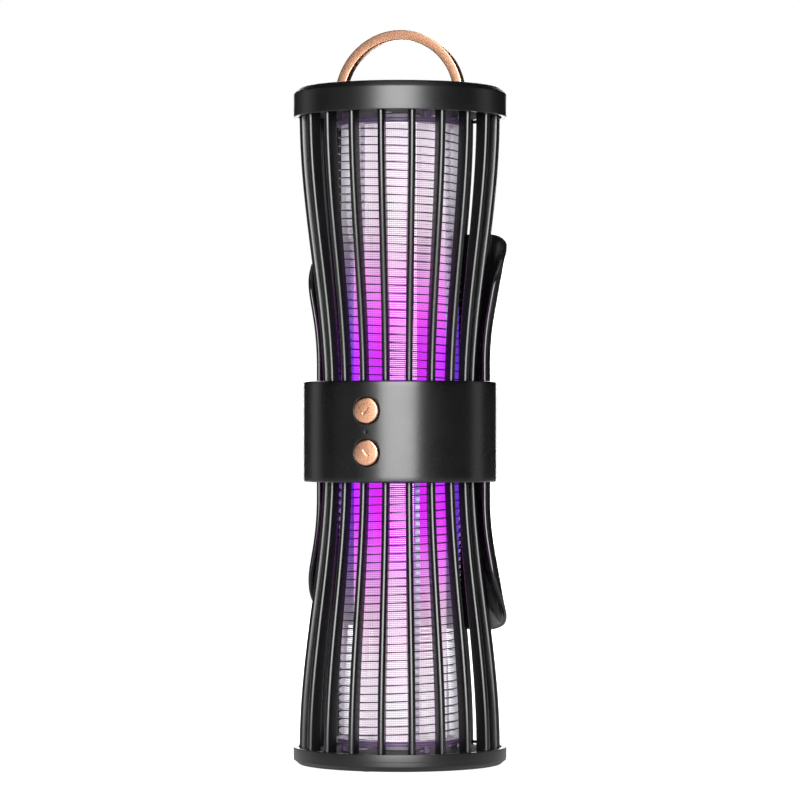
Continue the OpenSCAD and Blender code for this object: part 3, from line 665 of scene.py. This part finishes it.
def collar_shape():
    """A wall over (angle, height) with a hole in each patch: round a hole the points run from
    the patch's square edge to the hole's edge, and the same sheet at the inner radius closes it.
    The outer radius falls as a quarter circle over the last bevel of height."""
    s = sizes()
    outer, inner = reach_of("collar"), reach_of("collar") - s.collar_wall
    bevel, half = s.collar_bevel, COLLAR_HALF
    ease = np.sin(np.radians([0, 22, 45, 68, 90])) * bevel
    upper = np.concatenate([[1.05, 2.1], 2.1 + 1.2 * np.arange(1, 13), [18.2, 19.8]]) * MM
    upper = np.concatenate([upper, half - bevel + ease])
    heights = np.concatenate([-upper[::-1], [0], upper])
    columns = 360
    rows = len(heights)
    grid = np.arange(rows * columns).reshape(rows, columns)
    angle, height = np.meshgrid(np.radians(np.arange(columns)), heights)
    flat = np.stack([angle, height], -1).reshape(-1, 2)
    wide = np.hstack([grid, grid[:, :1]])
    cell = np.stack([wide[:-1, :-1], wide[:-1, 1:], wide[1:, 1:], wide[1:, :-1]], -1)
    open_cells = np.ones(cell.shape[:2], bool)
    loops, extra_flat, extra_quads, count = [], [], [], len(flat)
    for middle, reach, low, high, z, half_w, half_h, round_by in collar_holes():
        r0, r1 = (int(np.argmin(abs(heights - v * MM))) for v in (low, high))
        span = np.arange(middle - reach, middle + reach + 1)
        open_cells[r0:r1, span[:-1] % columns] = False
        edge_r = np.concatenate([np.full(2 * reach, r0), np.arange(r0, r1),
                                 np.full(2 * reach, r1), np.arange(r1, r0, -1)])
        edge_c = np.concatenate([span[:-1], np.full(r1 - r0, span[-1]), span[:0:-1],
                                 np.full(r1 - r0, span[0])])
        edge = np.stack([np.radians(edge_c), heights[edge_r]], -1)
        off = edge - (math.radians(middle), z * MM)
        unit = off / np.stack([np.full(len(off), math.radians(reach)),
                               np.where(off[:, 1] > 0, high - z, z - low) * MM], -1)
        core = np.array([half_w - round_by, half_h - round_by])
        reach_to = unit * (half_w, half_h)
        near = np.clip(reach_to, -core, core)
        way = reach_to - near
        rim = near + way / np.linalg.norm(way, axis=1, keepdims=True) * round_by
        rings = [grid[edge_r, edge_c % columns]]
        for share, grow in ((0.35, 0), (0.7, 0), (1, 0.28), (1, 0.12), (1, 0)):
            swell = rim + grow * way / np.linalg.norm(way, axis=1, keepdims=True)
            at = np.stack([np.arcsin(np.clip(swell[:, 0] * MM / outer, -1, 1)) +
                           math.radians(middle), (swell[:, 1] + z) * MM], -1)
            extra_flat.append(edge + (at - edge) * share if share < 1 else at)
            rings.append(np.arange(count, count + len(at)))
            count += len(at)
        for a, b in zip(rings[:-1], rings[1:]):
            extra_quads.append(np.stack([a, np.roll(a, -1), np.roll(b, -1), b], -1))
        loops.append((rings[-1], rings[-2]))
    flat = np.concatenate([flat] + extra_flat)
    quads = np.concatenate([cell[open_cells]] + extra_quads)
    depth = np.zeros(len(flat))
    edge_sunk, next_sunk = 0.28 * MM, 0.08 * MM
    for edge_ring, next_ring in loops:
        depth[edge_ring], depth[next_ring] = edge_sunk, next_sunk
    over = np.clip(abs(flat[:, 1]) - (half - bevel), 0, bevel)
    radius = outer - bevel + np.sqrt(bevel ** 2 - over ** 2) - depth
    sheets = [np.stack([r * np.sin(flat[:, 0]), -r * np.cos(flat[:, 0]), flat[:, 1]], -1)
              for r in (radius, np.full(len(flat), inner))]
    walls = [grid[0], grid[-1][::-1]] + [loop[0] for loop in loops]
    sides = [np.stack([w, w + count, np.roll(w, -1) + count, np.roll(w, -1)], -1) for w in walls]
    return (np.concatenate(sheets),
            np.concatenate([quads, quads[:, ::-1] + count] + sides))


def port_frame_shape():
    """The floor of the charging pocket: a plate between two rounded rectangles, with the port's
    slot through it."""
    def loop(half_w, half_h, cut, y):
        ring = softened([(-half_w, -half_h), (half_w, -half_h), (half_w, half_h),
                         (-half_w, half_h)], cut, 6) * MM
        return np.stack([ring[:, 0], np.full(len(ring), y * MM), ring[:, 1]], -1)
    rows = np.stack([loop(7.6, 4.3, 1.6, 38.75), loop(7.6, 4.3, 1.6, 41.6),
                     loop(4.75, 1.95, 1.9, 41.6), loop(4.55, 1.75, 1.7, 41.3),
                     loop(4.55, 1.75, 1.7, 38.75)])
    return skin(rows, wrap_rows=True, wrap_columns=True)


def button_shape(slant):
    """A domed disc facing the front: depth falls as a quarter ellipse over the rim, the face
    crowns by r squared, and a stroke is sunk along a slanted line."""
    r = sizes().button_r
    face = -corners("upper_button")[0][1]
    radius = np.concatenate([
        np.linspace(0, BUTTON_FLAT, 44),
        BUTTON_FLAT + (1 - BUTTON_FLAT) * np.sin(np.radians(np.linspace(8, 90, 10)))]) * r
    angle = np.arange(120) * TAU / 120
    x = radius[:, None] * np.cos(angle)
    z = radius[:, None] * np.sin(angle)
    share = np.clip((radius / r - BUTTON_FLAT) / (1 - BUTTON_FLAT), 0, 1)
    crown = face - BUTTON_CROWN * (radius / r) ** 2 - BUTTON_ROUND * (1 - np.sqrt(1 - share ** 2))
    along = x * math.sin(slant) + z * math.cos(slant)
    aside = x * math.cos(slant) - z * math.sin(slant)
    gap = np.hypot(aside, np.maximum(abs(along) - STROKE_HALF, 0)) / STROKE_WIDE
    sunk = STROKE_DEEP * np.clip(1.4 - gap, 0, 1)
    y = -(np.broadcast_to(crown[:, None], x.shape) - sunk)
    front = np.stack([x, y, z], -1)
    back = np.stack([x[-1:], np.full_like(x[-1:], -(face - 3.6 * MM)), z[-1:]], -1)
    middle = back * (0, 1, 0)
    return skin(np.concatenate([front, back, middle]), wrap_columns=True)


def shield_flare(height):
    """How far the shield leans out: u^2 / 2R over the bend, then a straight slope."""
    u = np.maximum(0, height - SHIELD_STRAIGHT)
    bend, radius = SHIELD_BEND, SHIELD_BEND_R
    return np.where(u < bend, u * u / (2 * radius), bend * (u - bend / 2) / radius)


def shield_shape():
    """A sheet over (angle, height): straight sides up to the corner, then an elliptical corner,
    a = half angle - corner angle (1 - cos t), h = top - corner (1 - sin t). The half
    thickness follows a circle over the last few tenths before the edge, so every edge is
    round."""
    s = sizes()
    thick = s.shield_thick / 2
    root, top = foot_of("upper_shield"), top_of("upper_shield")
    corner = SHIELD_CORNER
    t = np.concatenate([np.zeros(27), np.radians(np.linspace(0, 90, 31))[1:]])
    height = top - corner * (1 - np.sin(t))
    height[:27] = np.linspace(root, top - corner, 27)
    widest = np.radians(SHIELD_HALF_ANGLE - SHIELD_CORNER_ANGLE * (1 - np.cos(t)))
    radius = s.shield_r - thick + shield_flare(height)
    arc = widest * radius
    near = np.array([0, 0.06, 0.25, 0.55, 1.0, 1.9]) * thick
    inside = np.linspace(-1, 1, 71)[None, :] * (arc - 2.6 * thick)[:, None]
    edge = arc[:, None] - near[None, :]
    place = np.concatenate([-edge, inside, edge[:, ::-1]], axis=1)
    slope = corner * np.cos(t), math.radians(SHIELD_CORNER_ANGLE) * s.shield_r * np.sin(t)
    lean = slope[0] / np.hypot(*slope)
    from_side = (arc[:, None] - abs(place)) * lean[:, None]
    from_edge = np.minimum(from_side, (top - height)[:, None])
    from_edge = np.minimum(from_edge, (height - root)[:, None])
    rest = np.clip(1 - from_edge / thick, 0, 1)
    half = thick * np.sqrt(1 - rest ** 2)
    angle = place / radius[:, None] + np.pi
    sheets = [np.stack([(radius[:, None] + sign * half) * np.sin(angle),
                        -(radius[:, None] + sign * half) * np.cos(angle),
                        np.broadcast_to(height[:, None], half.shape)], -1) for sign in (1, -1)]
    around = np.concatenate([sheets[0], sheets[1][:, ::-1]], axis=1)
    bottom = np.concatenate([sheets[0][:1], sheets[0][:1, ::-1]], axis=1)
    lid = np.concatenate([sheets[0][-1:], sheets[0][-1:, ::-1]], axis=1)
    return skin(np.concatenate([bottom, around, lid]), wrap_columns=True)


def base_shape():
    """The base's profile turned about Z: a bevelled dish with a seat for the foot pad."""
    s = sizes()
    low, high = corners("base_cover")[0], corners("base_cover")[1]
    out, foot = high[0], low[2]
    rim = foot + BASE_RIM
    pad = reach_of("foot_pad") + 0.1 * MM
    rows = [(0, foot + FOOT_SINK, 0), (pad, foot + FOOT_SINK, 0.1), (pad, foot, 0.3),
            (out - s.cap_bevel, foot, 0.4), (out - s.cap_lip, foot + s.cap_bevel * 0.8, 0.4),
            (out - s.cap_lip, rim - LIP_TOP, 0.1), (out, rim - LIP_FOOT, 0.1), (out, rim, 0.35),
            (out - s.cap_wall, rim, 0.35), (out - s.cap_wall, foot + BASE_FLOOR, 0.5),
            (0, foot + BASE_FLOOR, 0)]
    profile = softened([row[:2] for row in rows], [row[2] * MM for row in rows], 5)
    return lathe(profile, 320, closed=False)


def foot_shape():
    """The foot pad: a disc with eased edges and three shallow rings underneath."""
    r, top = reach_of("foot_pad"), corners("foot_pad")[1][2]
    rings = np.concatenate([[(0, 0)], [(q, z) for c in (12, 20, 28) for q, z in (
        (c * MM, 0), (c * MM + 0.3 * MM, 0.25 * MM), (c * MM + 1.2 * MM, 0.25 * MM),
        (c * MM + 1.5 * MM, 0))]])
    ease = 0.35 * MM
    rim = np.array([(r - ease, 0), (r - ease * 0.3, ease * 0.3), (r, ease), (r, top), (0, top)])
    return lathe(np.concatenate([rings, rim]), 256, closed=False)


def screw_head_shape(radius, rise):
    """A low domed screw head with a crossed recess, modelled up +Z: the height falls by r
    squared, less a pit along two crossing bars."""
    r = np.concatenate([np.linspace(0, 0.9, 22), [0.96, 1.0]]) * radius
    angle = np.arange(96) * TAU / 96
    x, y = r[:, None] * np.cos(angle), r[:, None] * np.sin(angle)
    dome = rise * (1 - (r / radius) ** 2 * 0.7)
    bar = np.minimum(np.hypot(x, np.maximum(abs(y) - radius * 0.5, 0)),
                     np.hypot(y, np.maximum(abs(x) - radius * 0.5, 0)))
    pit = 0.55 * MM * np.clip(1.5 - bar / (radius * 0.13), 0, 1)
    z = dome[:, None] - pit
    rows = np.stack([x, y, z], -1)
    foot = rows[-1:] * (1, 1, 0) - (0, 0, 0.6 * MM)
    return skin(np.concatenate([rows, foot, foot * (0, 0, 1)]), wrap_columns=True)


def plug_shape():
    """The charging cover: a rounded rectangle carried inwards from the collar's curve, with an
    eased outer edge and a stub that fills the port."""
    def loop(half_w, half_h, cut, y, curve):
        ring = softened([(-half_w, -half_h), (half_w, -half_h), (half_w, half_h),
                         (-half_w, half_h)], cut, 6) * MM
        depth = y * MM - curve * (ring[:, 0] ** 2) / (2 * 43.4 * MM)
        return np.stack([ring[:, 0], depth, ring[:, 1]], -1)
    out = PORT_BACK / MM
    rows = np.stack([loop(3.4, 1.2, 1.0, 40.2, 0), loop(3.6, 1.4, 1.2, 40.4, 0),
                     loop(3.6, 1.4, 1.2, 41.75, 0), loop(6.5, 3.3, 1.1, 41.75, 0),
                     loop(6.5, 3.3, 1.1, out - 0.35, 1), loop(6.35, 3.15, 1.0, out - 0.1, 1),
                     loop(6.1, 2.9, 0.9, out, 1), loop(3, 1.4, 0.5, out, 1)])
    return capped(rows)


def lit_tube_shape():
    """The lamp: a tube with domed ends, as a profile turned about Z."""
    r = sizes().lamp_r - 0.3 * MM
    low, high = foot_of("upper_lamp"), top_of("upper_lamp")
    profile = softened([(0, low), (r, low), (r, high), (0, high)], [0, 2 * MM, 2 * MM, 0], 8)
    return lathe(profile, 96, closed=False)


def lamp_end_shapes():
    """The lamp's two metal end caps, each with a pressed groove."""
    r = sizes().lamp_r
    low, high = foot_of("upper_lamp_ends"), top_of("upper_lamp_ends")
    run = LAMP_END
    return [lathe(softened([(0, a), (r, a), (r, a + d * run * 0.5), (r - 0.12 * MM,
            a + d * run * 0.62), (r, a + d * run * 0.74), (r, a + d * run), (r - LAMP_END_WALL,
            a + d * run), (r - LAMP_END_WALL, a + d * 0.9 * MM), (0, a + d * 0.9 * MM)],
            [0, 0.3 * MM, 0.04 * MM, 0.04 * MM, 0.04 * MM, 0.08 * MM, 0.05 * MM, 0.1 * MM, 0], 4),
            96, closed=False) for a, d in ((low, 1), (high, -1))]


def cup_shape(node_name, low, high):
    """A lamp holder: a cup round the tube's end with an eased lip and one groove."""
    r = reach_of(node_name)
    bore = sizes().lamp_r + 0.12 * MM
    lip = high if abs(high) < abs(low) else low
    root = low if lip == high else high
    d = 1 if root > lip else -1
    outline = [(bore, lip), (r, lip), (r, lip + d * 0.9 * MM), (r - 0.3 * MM, lip + d * 1.1 * MM),
               (r, lip + d * 1.3 * MM), (r, root), (bore, root)]
    return lathe(softened(outline, [0.2 * MM, 0.35 * MM, 0.05 * MM, 0.05 * MM, 0.05 * MM, 0, 0],
                          4), 128)


def cloth_tube(radius, wire, low, high):
    """Woven wire cloth as a tube: upright wires every pitch round the circle, and rings every
    pitch up it, each a four-sided wire; the rings lie just outside the uprights."""
    pitch = sizes().mesh_pitch
    uprights = int(TAU * radius / pitch)
    angle = np.arange(uprights) * TAU / uprights
    corner = np.array([(1, 0), (0, 1), (-1, 0), (0, -1)]) * wire / 2
    inner = radius - wire * 0.25
    spine = np.stack([inner * np.sin(angle), -inner * np.cos(angle)], -1)
    away = spine / inner
    aside = np.stack([-away[:, 1], away[:, 0]], -1)
    loop = (spine[:, None] + away[:, None] * corner[None, :, :1] +
            aside[:, None] * corner[None, :, 1:])
    ends = np.array([low, high])
    rows = np.concatenate([np.broadcast_to(loop[:, None], (uprights, 2, 4, 2)),
                           np.broadcast_to(ends[None, :, None, None], (uprights, 2, 4, 1))], -1)
    bars = [joined([capped(row) for row in rows])]
    count = int((high - low - wire) / pitch)
    levels = low + wire / 2 + (high - low - wire) * np.arange(count + 1) / count
    ring = np.stack([radius + wire * 0.25 + corner[:, 0], corner[:, 1]], -1)
    turn = np.arange(84) * TAU / 84
    round_way = np.stack([ring[:, :1] * np.sin(turn), -ring[:, :1] * np.cos(turn),
                          np.broadcast_to(ring[:, 1:], (4, 84))], -1)
    hoops = [skin(round_way + (0, 0, level), wrap_rows=True, wrap_columns=True)
             for level in levels]
    return bars + [joined(hoops)]


def wire_heights():
    """The height of the winding's lowest turn, and the turns of both wires together."""
    return foot_of("upper_live_wires") + WIRE_GAP, WIRE_TURNS


def helix_shape(start):
    """One of the two wires of the winding: a round section carried down a helix that falls two
    steps a turn, z = top - 2 step (turns), the second wire half a turn behind the first."""
    s = sizes()
    lowest, count = wire_heights()
    lead_in = math.radians(WIRE_LEAD_IN)
    turns = (count + 0.5) / 2
    sweep = np.linspace(0, turns * TAU, int(turns * 72))
    angle = sweep + lead_in - math.pi / 2 + start * math.pi
    z = lowest + (count - 0.5) * s.grid_step - sweep / TAU * 2 * s.grid_step
    out = np.stack([np.sin(angle), -np.cos(angle), np.zeros_like(angle)], -1)
    middle = out * s.grid_r + np.stack([0 * z, 0 * z, z], -1)
    turn = np.arange(6) * TAU / 6
    up = np.array([0, 0, 1.0])
    rows = middle[:, None] + s.grid_wire / 2 * (
        np.cos(turn)[None, :, None] * out[:, None] + np.sin(turn)[None, :, None] * up)
    return capped(rows)


def comb_shape(angle):
    """One post of the grid: a bar whose outer face steps out between the wires, so each wire
    sits in a notch. The notches follow the helix at the post's angle."""
    s = sizes()
    low, high = foot_of("upper_grid_posts"), top_of("upper_grid_posts")
    inner = reach_of("upper_gauze") + 0.05 * MM
    lowest, _ = wire_heights()
    per = 10
    heights = np.linspace(low, high, int((high - low) / s.grid_step * per))
    shift = (math.degrees(angle) - WIRE_LEAD_IN) / 360 * 2 * s.grid_step
    phase = (heights - lowest + shift) / s.grid_step
    tooth = np.clip(abs(phase - np.round(phase)) * 5 - 0.55, 0, 1)
    outer = s.grid_r - 0.45 * MM + 1.15 * MM * tooth
    half = 1.0 * MM
    across = np.array([-half, half, half, -half])
    radial = np.stack([np.full_like(outer, inner)] * 2 + [outer] * 2, -1)
    rows = np.stack([np.broadcast_to(across, radial.shape), -radial,
                     np.broadcast_to(heights[:, None], radial.shape)], -1)
    return about(capped(rows), angle)


def grid_ring_shapes():
    """The winding's two end rings for one chamber, each with fine turned grooves."""
    out = reach_of("grid_end_rings")
    inner = out - RING_WIDE
    rings = []
    tip = top_of("upper_grid_posts")
    for low, high in ((foot_of("upper_mesh_tube"), foot_of("upper_grid_posts")),
                      (tip, tip + RING_TIP)):
        steps = max(2, int((high - low) / (1.25 * MM)))
        level = np.linspace(low, high, steps * 4 + 1)
        groove = np.where(np.arange(steps * 4 + 1) % 4 == 2, RING_GROOVE, 0)
        face = np.stack([out - groove, level], -1)
        rings.append(lathe(np.concatenate([face, [(inner, high), (inner, low)]]), 192))
    peg = softened([(-MM, -MM), (MM, -MM), (MM, MM), (-MM, MM)], 0.3 * MM) - (0, out - 1.5 * MM)
    levels = (tip + 2 * MM, foot_of("upper_end_plate"))
    rows = np.stack([np.column_stack([peg, np.full(len(peg), level)]) for level in levels])
    return rings + [about(capped(rows), math.radians(45 + 90 * k)) for k in range(4)]


# --- Operators ---

class ZAPPER_OT_stage(Operator):
    """Make the camera, the white surroundings, the floor and the lights"""
    bl_idname = "zapper.stage"
    bl_label = "Stage"

    def execute(self, context):
        s = context.scene.zapper_stage
        scene = context.scene
        scene.view_settings.view_transform = "Standard"
        scene.view_settings.look = "None"
        camera = bpy.data.objects.new("Camera", bpy.data.cameras.new("Camera"))
        scene.collection.objects.link(camera)
        camera.location = (s.distance * math.sin(s.azimuth), -s.distance * math.cos(s.azimuth),
                           MID_Z)
        camera.rotation_euler = (math.radians(90) + s.pitch, 0, s.azimuth)
        camera.data.lens = s.lens
        camera.data.sensor_width = 36
        camera.data.clip_start, camera.data.clip_end = 0.05, 50
        scene.camera = camera
        self.surroundings(scene, s.dim)
        self.floor(scene)
        middle = Vector((0, 0, MID_Z))
        for name, angle, distance, rise, width, tall, radiance in (
                ("Front_softbox", 17.5, 1.9, 0.1, 1.48, 2.0, s.front),
                ("Left_wing", -15, 1.95, 0.1, 0.5, 2.0, s.wing),
                ("Fill_softbox", -50, 1.9, 0.1, 0.8, 2.0, s.fill),
                ("Left_softbox", -99, 1.6, 0.1, 0.5, 1.6, s.rim),
                ("Right_softbox", 124, 1.6, 0.1, 0.5, 1.6, s.rim),
                ("Back_strip", 200, 1.6, 0.1, 0.8, 1.6, s.back),
                ("Top_softbox", 20, 0.5, 1.5, 1.0, 1.0, s.top)):
            light = bpy.data.lights.new(name, "AREA")
            light.shape = "RECTANGLE"
            light.size, light.size_y = width, tall
            light.energy = radiance * math.pi * width * tall
            lamp = bpy.data.objects.new(name, light)
            a = math.radians(angle)
            lamp.location = middle + Vector((distance * math.sin(a), -distance * math.cos(a),
                                             rise))
            lamp.rotation_euler = (middle - lamp.location).to_track_quat("-Z", "Y").to_euler()
            lamp.visible_camera = False
            scene.collection.objects.link(lamp)
        return {"FINISHED"}

    @staticmethod
    def surroundings(scene, dim):
        """White to the camera, and dimmer as a light, so the black parts keep their shape."""
        world = bpy.data.worlds.new("Studio")
        scene.world = world
        world.use_nodes = True
        tree = world.node_tree
        tree.nodes.clear()
        seen = node(tree, "ShaderNodeLightPath").outputs["Is Camera Ray"]
        strength = spread(tree, seen, dim, 1.0)
        back = node(tree, "ShaderNodeBackground", {"Color": (1, 1, 1, 1), "Strength": strength})
        node(tree, "ShaderNodeOutputWorld", {"Surface": back.outputs["Background"]})

    @staticmethod
    def floor(scene):
        """A wide pale disc, a hair under the foot so the two never share a plane."""
        turn = np.arange(96) * TAU / 96
        ring = np.stack([np.sin(turn), np.cos(turn), 0 * turn], -1)
        radii = np.array([0, 0.05, 0.2, 0.6, 2, 9, 40])
        points, quads = skin(ring[None] * radii[:, None, None] - (0, 0, 0.2 * MM),
                             wrap_columns=True)
        mesh = bpy.data.meshes.new("Floor")
        mesh.from_pydata(points.tolist(), [], quads[:, ::-1].tolist())
        mesh.validate()
        floor = bpy.data.objects.new("Floor", mesh)
        scene.collection.objects.link(floor)
        material, tree, shader, place = blank("Pale_card", Roughness=0.8,
                                              Base_Color=(0.85, 0.85, 0.85, 1))
        tree.links.new(ramp(tree, noise(tree, place, 300, 2), (0.3, (0.84,) * 3),
                            (0.7, (0.86,) * 3)), shader.inputs["Base Color"])
        shader.inputs["Emission Color"].default_value = (1, 1, 1, 1)
        seen = node(tree, "ShaderNodeLightPath").outputs["Is Camera Ray"]
        tree.links.new(spread(tree, seen, 0.0, 1.0), shader.inputs["Emission Strength"])
        mesh.materials.append(material)


class ZAPPER_OT_cap(Operator):
    """Make the top cap"""
    bl_idname = "zapper.cap"
    bl_label = "Top cap"

    def execute(self, context):
        add_piece("Top_cap", [cap_shape()], finish("satin_black_shell"),
                  ["top_cap"], sharp=50)
        return {"FINISHED"}


class ZAPPER_OT_handle(Operator):
    """Make the folding half-ring handle"""
    bl_idname = "zapper.handle"
    bl_label = "Handle"

    def execute(self, context):
        add_piece("Handle", [handle_shape()], finish("rose_gold"), ["handle"],
                  "handle")
        return {"FINISHED"}


class ZAPPER_OT_fins(Operator):
    """Make the ring of fins round each chamber"""
    bl_idname = "zapper.fins"
    bl_label = "Fins"

    def execute(self, context):
        count = sizes().fin_count
        fin = fin_shape()
        for side, way in SIDES:
            parts = [raised(about(fin, (k + 0.5) * TAU / count), way) for k in range(count)]
            add_piece(side.capitalize() + "_fins", parts, finish("black_fins"),
                      [side + "_fins"])
        return {"FINISHED"}


class ZAPPER_OT_collar(Operator):
    """Make the collar with its button holes and charging pocket"""
    bl_idname = "zapper.collar"
    bl_label = "Collar"

    def execute(self, context):
        add_piece("Collar", [raised(collar_shape(), 1), raised(port_frame_shape(), 1)],
                  finish("satin_black_collar"), ["collar"])
        return {"FINISHED"}


class ZAPPER_OT_buttons(Operator):
    """Make the two push buttons with their strokes"""
    bl_idname = "zapper.buttons"
    bl_label = "Buttons"

    def execute(self, context):
        for side, way in SIDES:
            shape = aimed(button_shape(math.radians(40) * way),
                          (0, 0, MID_Z + way * BUTTON_Z), (0, 0, 1))
            add_piece(side.capitalize() + "_button", [shape], finish("rose_gold"),
                      [side + "_button"], side + "_button")
        return {"FINISHED"}


class ZAPPER_OT_shields(Operator):
    """Make the two curved shields behind the fins"""
    bl_idname = "zapper.shields"
    bl_label = "Shields"

    def execute(self, context):
        for side, way in SIDES:
            add_piece(side.capitalize() + "_shield", [raised(shield_shape(), way)],
                      finish("black_shield"), [side + "_shield"])
        return {"FINISHED"}


class ZAPPER_OT_base(Operator):
    """Make the base cover, its screws and the foot pad"""
    bl_idname = "zapper.base"
    bl_label = "Base"

    def execute(self, context):
        add_piece("Base_cover", [base_shape()], finish("satin_black_shell"),
                  ["base_cover"], sharp=50)
        add_piece("Foot_pad", [foot_shape()], finish("soft_rubber"),
                  ["foot_pad"])
        foot = corners("base_cover")[0][2]
        reach = corners("base_screws")[1][0] - SCREW_HEAD_R
        heads = [aimed(screw_head_shape(SCREW_HEAD_R, SCREW_RISE),
                       (reach * math.sin(a), -reach * math.cos(a), foot), (0, 0, -1))
                 for a in np.arange(4) * TAU / 4]
        add_piece("Base_screws", heads, finish("screw_steel"), ["base_screws"])
        return {"FINISHED"}


class ZAPPER_OT_port(Operator):
    """Make the plug that covers the charging port"""
    bl_idname = "zapper.port"
    bl_label = "Charging port"

    def execute(self, context):
        add_piece("Port_plug", [raised(plug_shape(), 1)], finish("soft_rubber"),
                  ["port_plug"], "port_plug")
        return {"FINISHED"}


class ZAPPER_OT_screws(Operator):
    """Make the heads of the collar's screws"""
    bl_idname = "zapper.screws"
    bl_label = "Collar screws"

    def execute(self, context):
        reach = reach_of("collar") - 0.45 * MM
        heads = []
        for a in (145, 215):
            way = np.array((math.sin(math.radians(a)), -math.cos(math.radians(a)), 0))
            heads += [aimed(screw_head_shape(2.15 * MM, 0.3 * MM),
                            way * reach + (0, 0, MID_Z + h * 12 * MM), way) for h in (-1, 1)]
        add_piece("Collar_screws", heads, finish("screw_steel"),
                  ["collar_screws"])
        return {"FINISHED"}


class ZAPPER_OT_lamps(Operator):
    """Make the lit tubes, their end caps and their holders"""
    bl_idname = "zapper.lamps"
    bl_label = "Lamps"

    def execute(self, context):
        for side, way in SIDES:
            name = side.capitalize()
            add_piece(name + "_lamp", [raised(lit_tube_shape(), way)], finish("lamp_glass"),
                      [side + "_lamp"])
            add_piece(name + "_lamp_ends", [raised(p, way) for p in lamp_end_shapes()],
                      finish("lamp_metal"), [side + "_lamp_ends"])
            cup = cup_shape("upper_lamp_holder", foot_of("upper_lamp_holder"),
                            top_of("upper_lamp_holder"))
            add_piece(name + "_lamp_holder", [raised(cup, way)], finish("holder_grey"),
                      [side + "_lamp_holder"])
        top = top_of("collar_lamp_sockets")
        cup = cup_shape("collar_lamp_sockets", top, foot_of("upper_live_wires") - 5.2 * MM)
        add_piece("Lamp_sockets", [raised(cup, way) for _, way in SIDES],
                  finish("holder_grey"), ["collar_lamp_sockets"])
        return {"FINISHED"}


class ZAPPER_OT_meshes(Operator):
    """Weave the inner mesh tube and the outer gauze of each chamber"""
    bl_idname = "zapper.meshes"
    bl_label = "Wire cloth"

    def execute(self, context):
        s = sizes()
        for piece, source, wire, material in (("mesh_tube", "upper_mesh_tube", s.tube_wire,
                                               "lit_mesh"),
                                              ("gauze", "upper_gauze", s.gauze_wire,
                                               "mesh_steel")):
            radius = reach_of(source) - wire * 0.75
            parts = cloth_tube(radius, wire, foot_of(source), top_of(source))
            for side, way in SIDES:
                add_piece(side.capitalize() + "_" + piece, [raised(p, way) for p in parts],
                          finish(material), [side + "_" + piece], sharp=60)
        return {"FINISHED"}


class ZAPPER_OT_grid(Operator):
    """Wind the high-voltage grid on its combs and rings"""
    bl_idname = "zapper.grid"
    bl_label = "Grid"

    def execute(self, context):
        combs = {"upper": -18, "lower": 36}
        rings = []
        for side, way in SIDES:
            name = side.capitalize()
            for start, wire in enumerate(("live", "return")):
                add_piece(name + "_" + wire + "_wire", [raised(helix_shape(start), way)],
                          finish("grid_wire"),
                          [side + "_" + wire + "_wires"], sharp=70)
            posts = [raised(comb_shape(math.radians(combs[side] + 90 * k)), way)
                     for k in range(4)]
            add_piece(name + "_combs", posts, finish("comb"),
                      [side + "_grid_posts"], sharp=30)
            rings += [raised(ring, way) for ring in grid_ring_shapes()]
        add_piece("Grid_rings", rings, finish("grid_plastic"),
                  ["grid_end_rings"], sharp=30)
        return {"FINISHED"}


class ZAPPER_OT_inner(Operator):
    """Give every CAD part that stays its finish"""
    bl_idname = "zapper.inner"
    bl_label = "Inner parts"

    def execute(self, context):
        for part in frame["record"]["subparts"]:
            shown = frame["nodes"][part["node"]]
            material = finish(part["material_slot"])
            shown.data.materials.clear()
            shown.data.materials.append(material)
        return {"FINISHED"}


STEPS = (ZAPPER_OT_stage, ZAPPER_OT_inner, ZAPPER_OT_cap, ZAPPER_OT_handle, ZAPPER_OT_fins,
         ZAPPER_OT_collar, ZAPPER_OT_buttons, ZAPPER_OT_shields, ZAPPER_OT_base,
         ZAPPER_OT_port, ZAPPER_OT_screws, ZAPPER_OT_lamps, ZAPPER_OT_meshes, ZAPPER_OT_grid)


class ZAPPER_PT_panel(Panel):
    """The zapper's sizes, colours and pieces"""
    bl_idname = "ZAPPER_PT_panel"
    bl_label = "Zapper"
    bl_space_type = "VIEW_3D"
    bl_region_type = "UI"
    bl_category = "Zapper"

    def draw(self, context):
        for group in (context.scene.zapper_sizes, context.scene.zapper_colours,
                      context.scene.zapper_stage):
            box = self.layout.box()
            for key in group.__annotations__:
                box.prop(group, key)
        for step in STEPS:
            self.layout.operator(step.bl_idname)


CLASSES = (ZapperSizes, ZapperColours, StageSettings, *STEPS, ZAPPER_PT_panel)


def register():
    for cls in CLASSES:
        bpy.utils.register_class(cls)
    bpy.types.Scene.zapper_sizes = PointerProperty(type=ZapperSizes)
    bpy.types.Scene.zapper_colours = PointerProperty(type=ZapperColours)
    bpy.types.Scene.zapper_stage = PointerProperty(type=StageSettings)


def unregister():
    del bpy.types.Scene.zapper_sizes
    del bpy.types.Scene.zapper_colours
    del bpy.types.Scene.zapper_stage
    for cls in reversed(CLASSES):
        bpy.utils.unregister_class(cls)


def main():
    """Register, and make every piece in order."""
    register()
    for step in STEPS:
        getattr(bpy.ops.zapper, step.bl_idname.split(".")[1])()


if __name__ == "__main__":
    main()
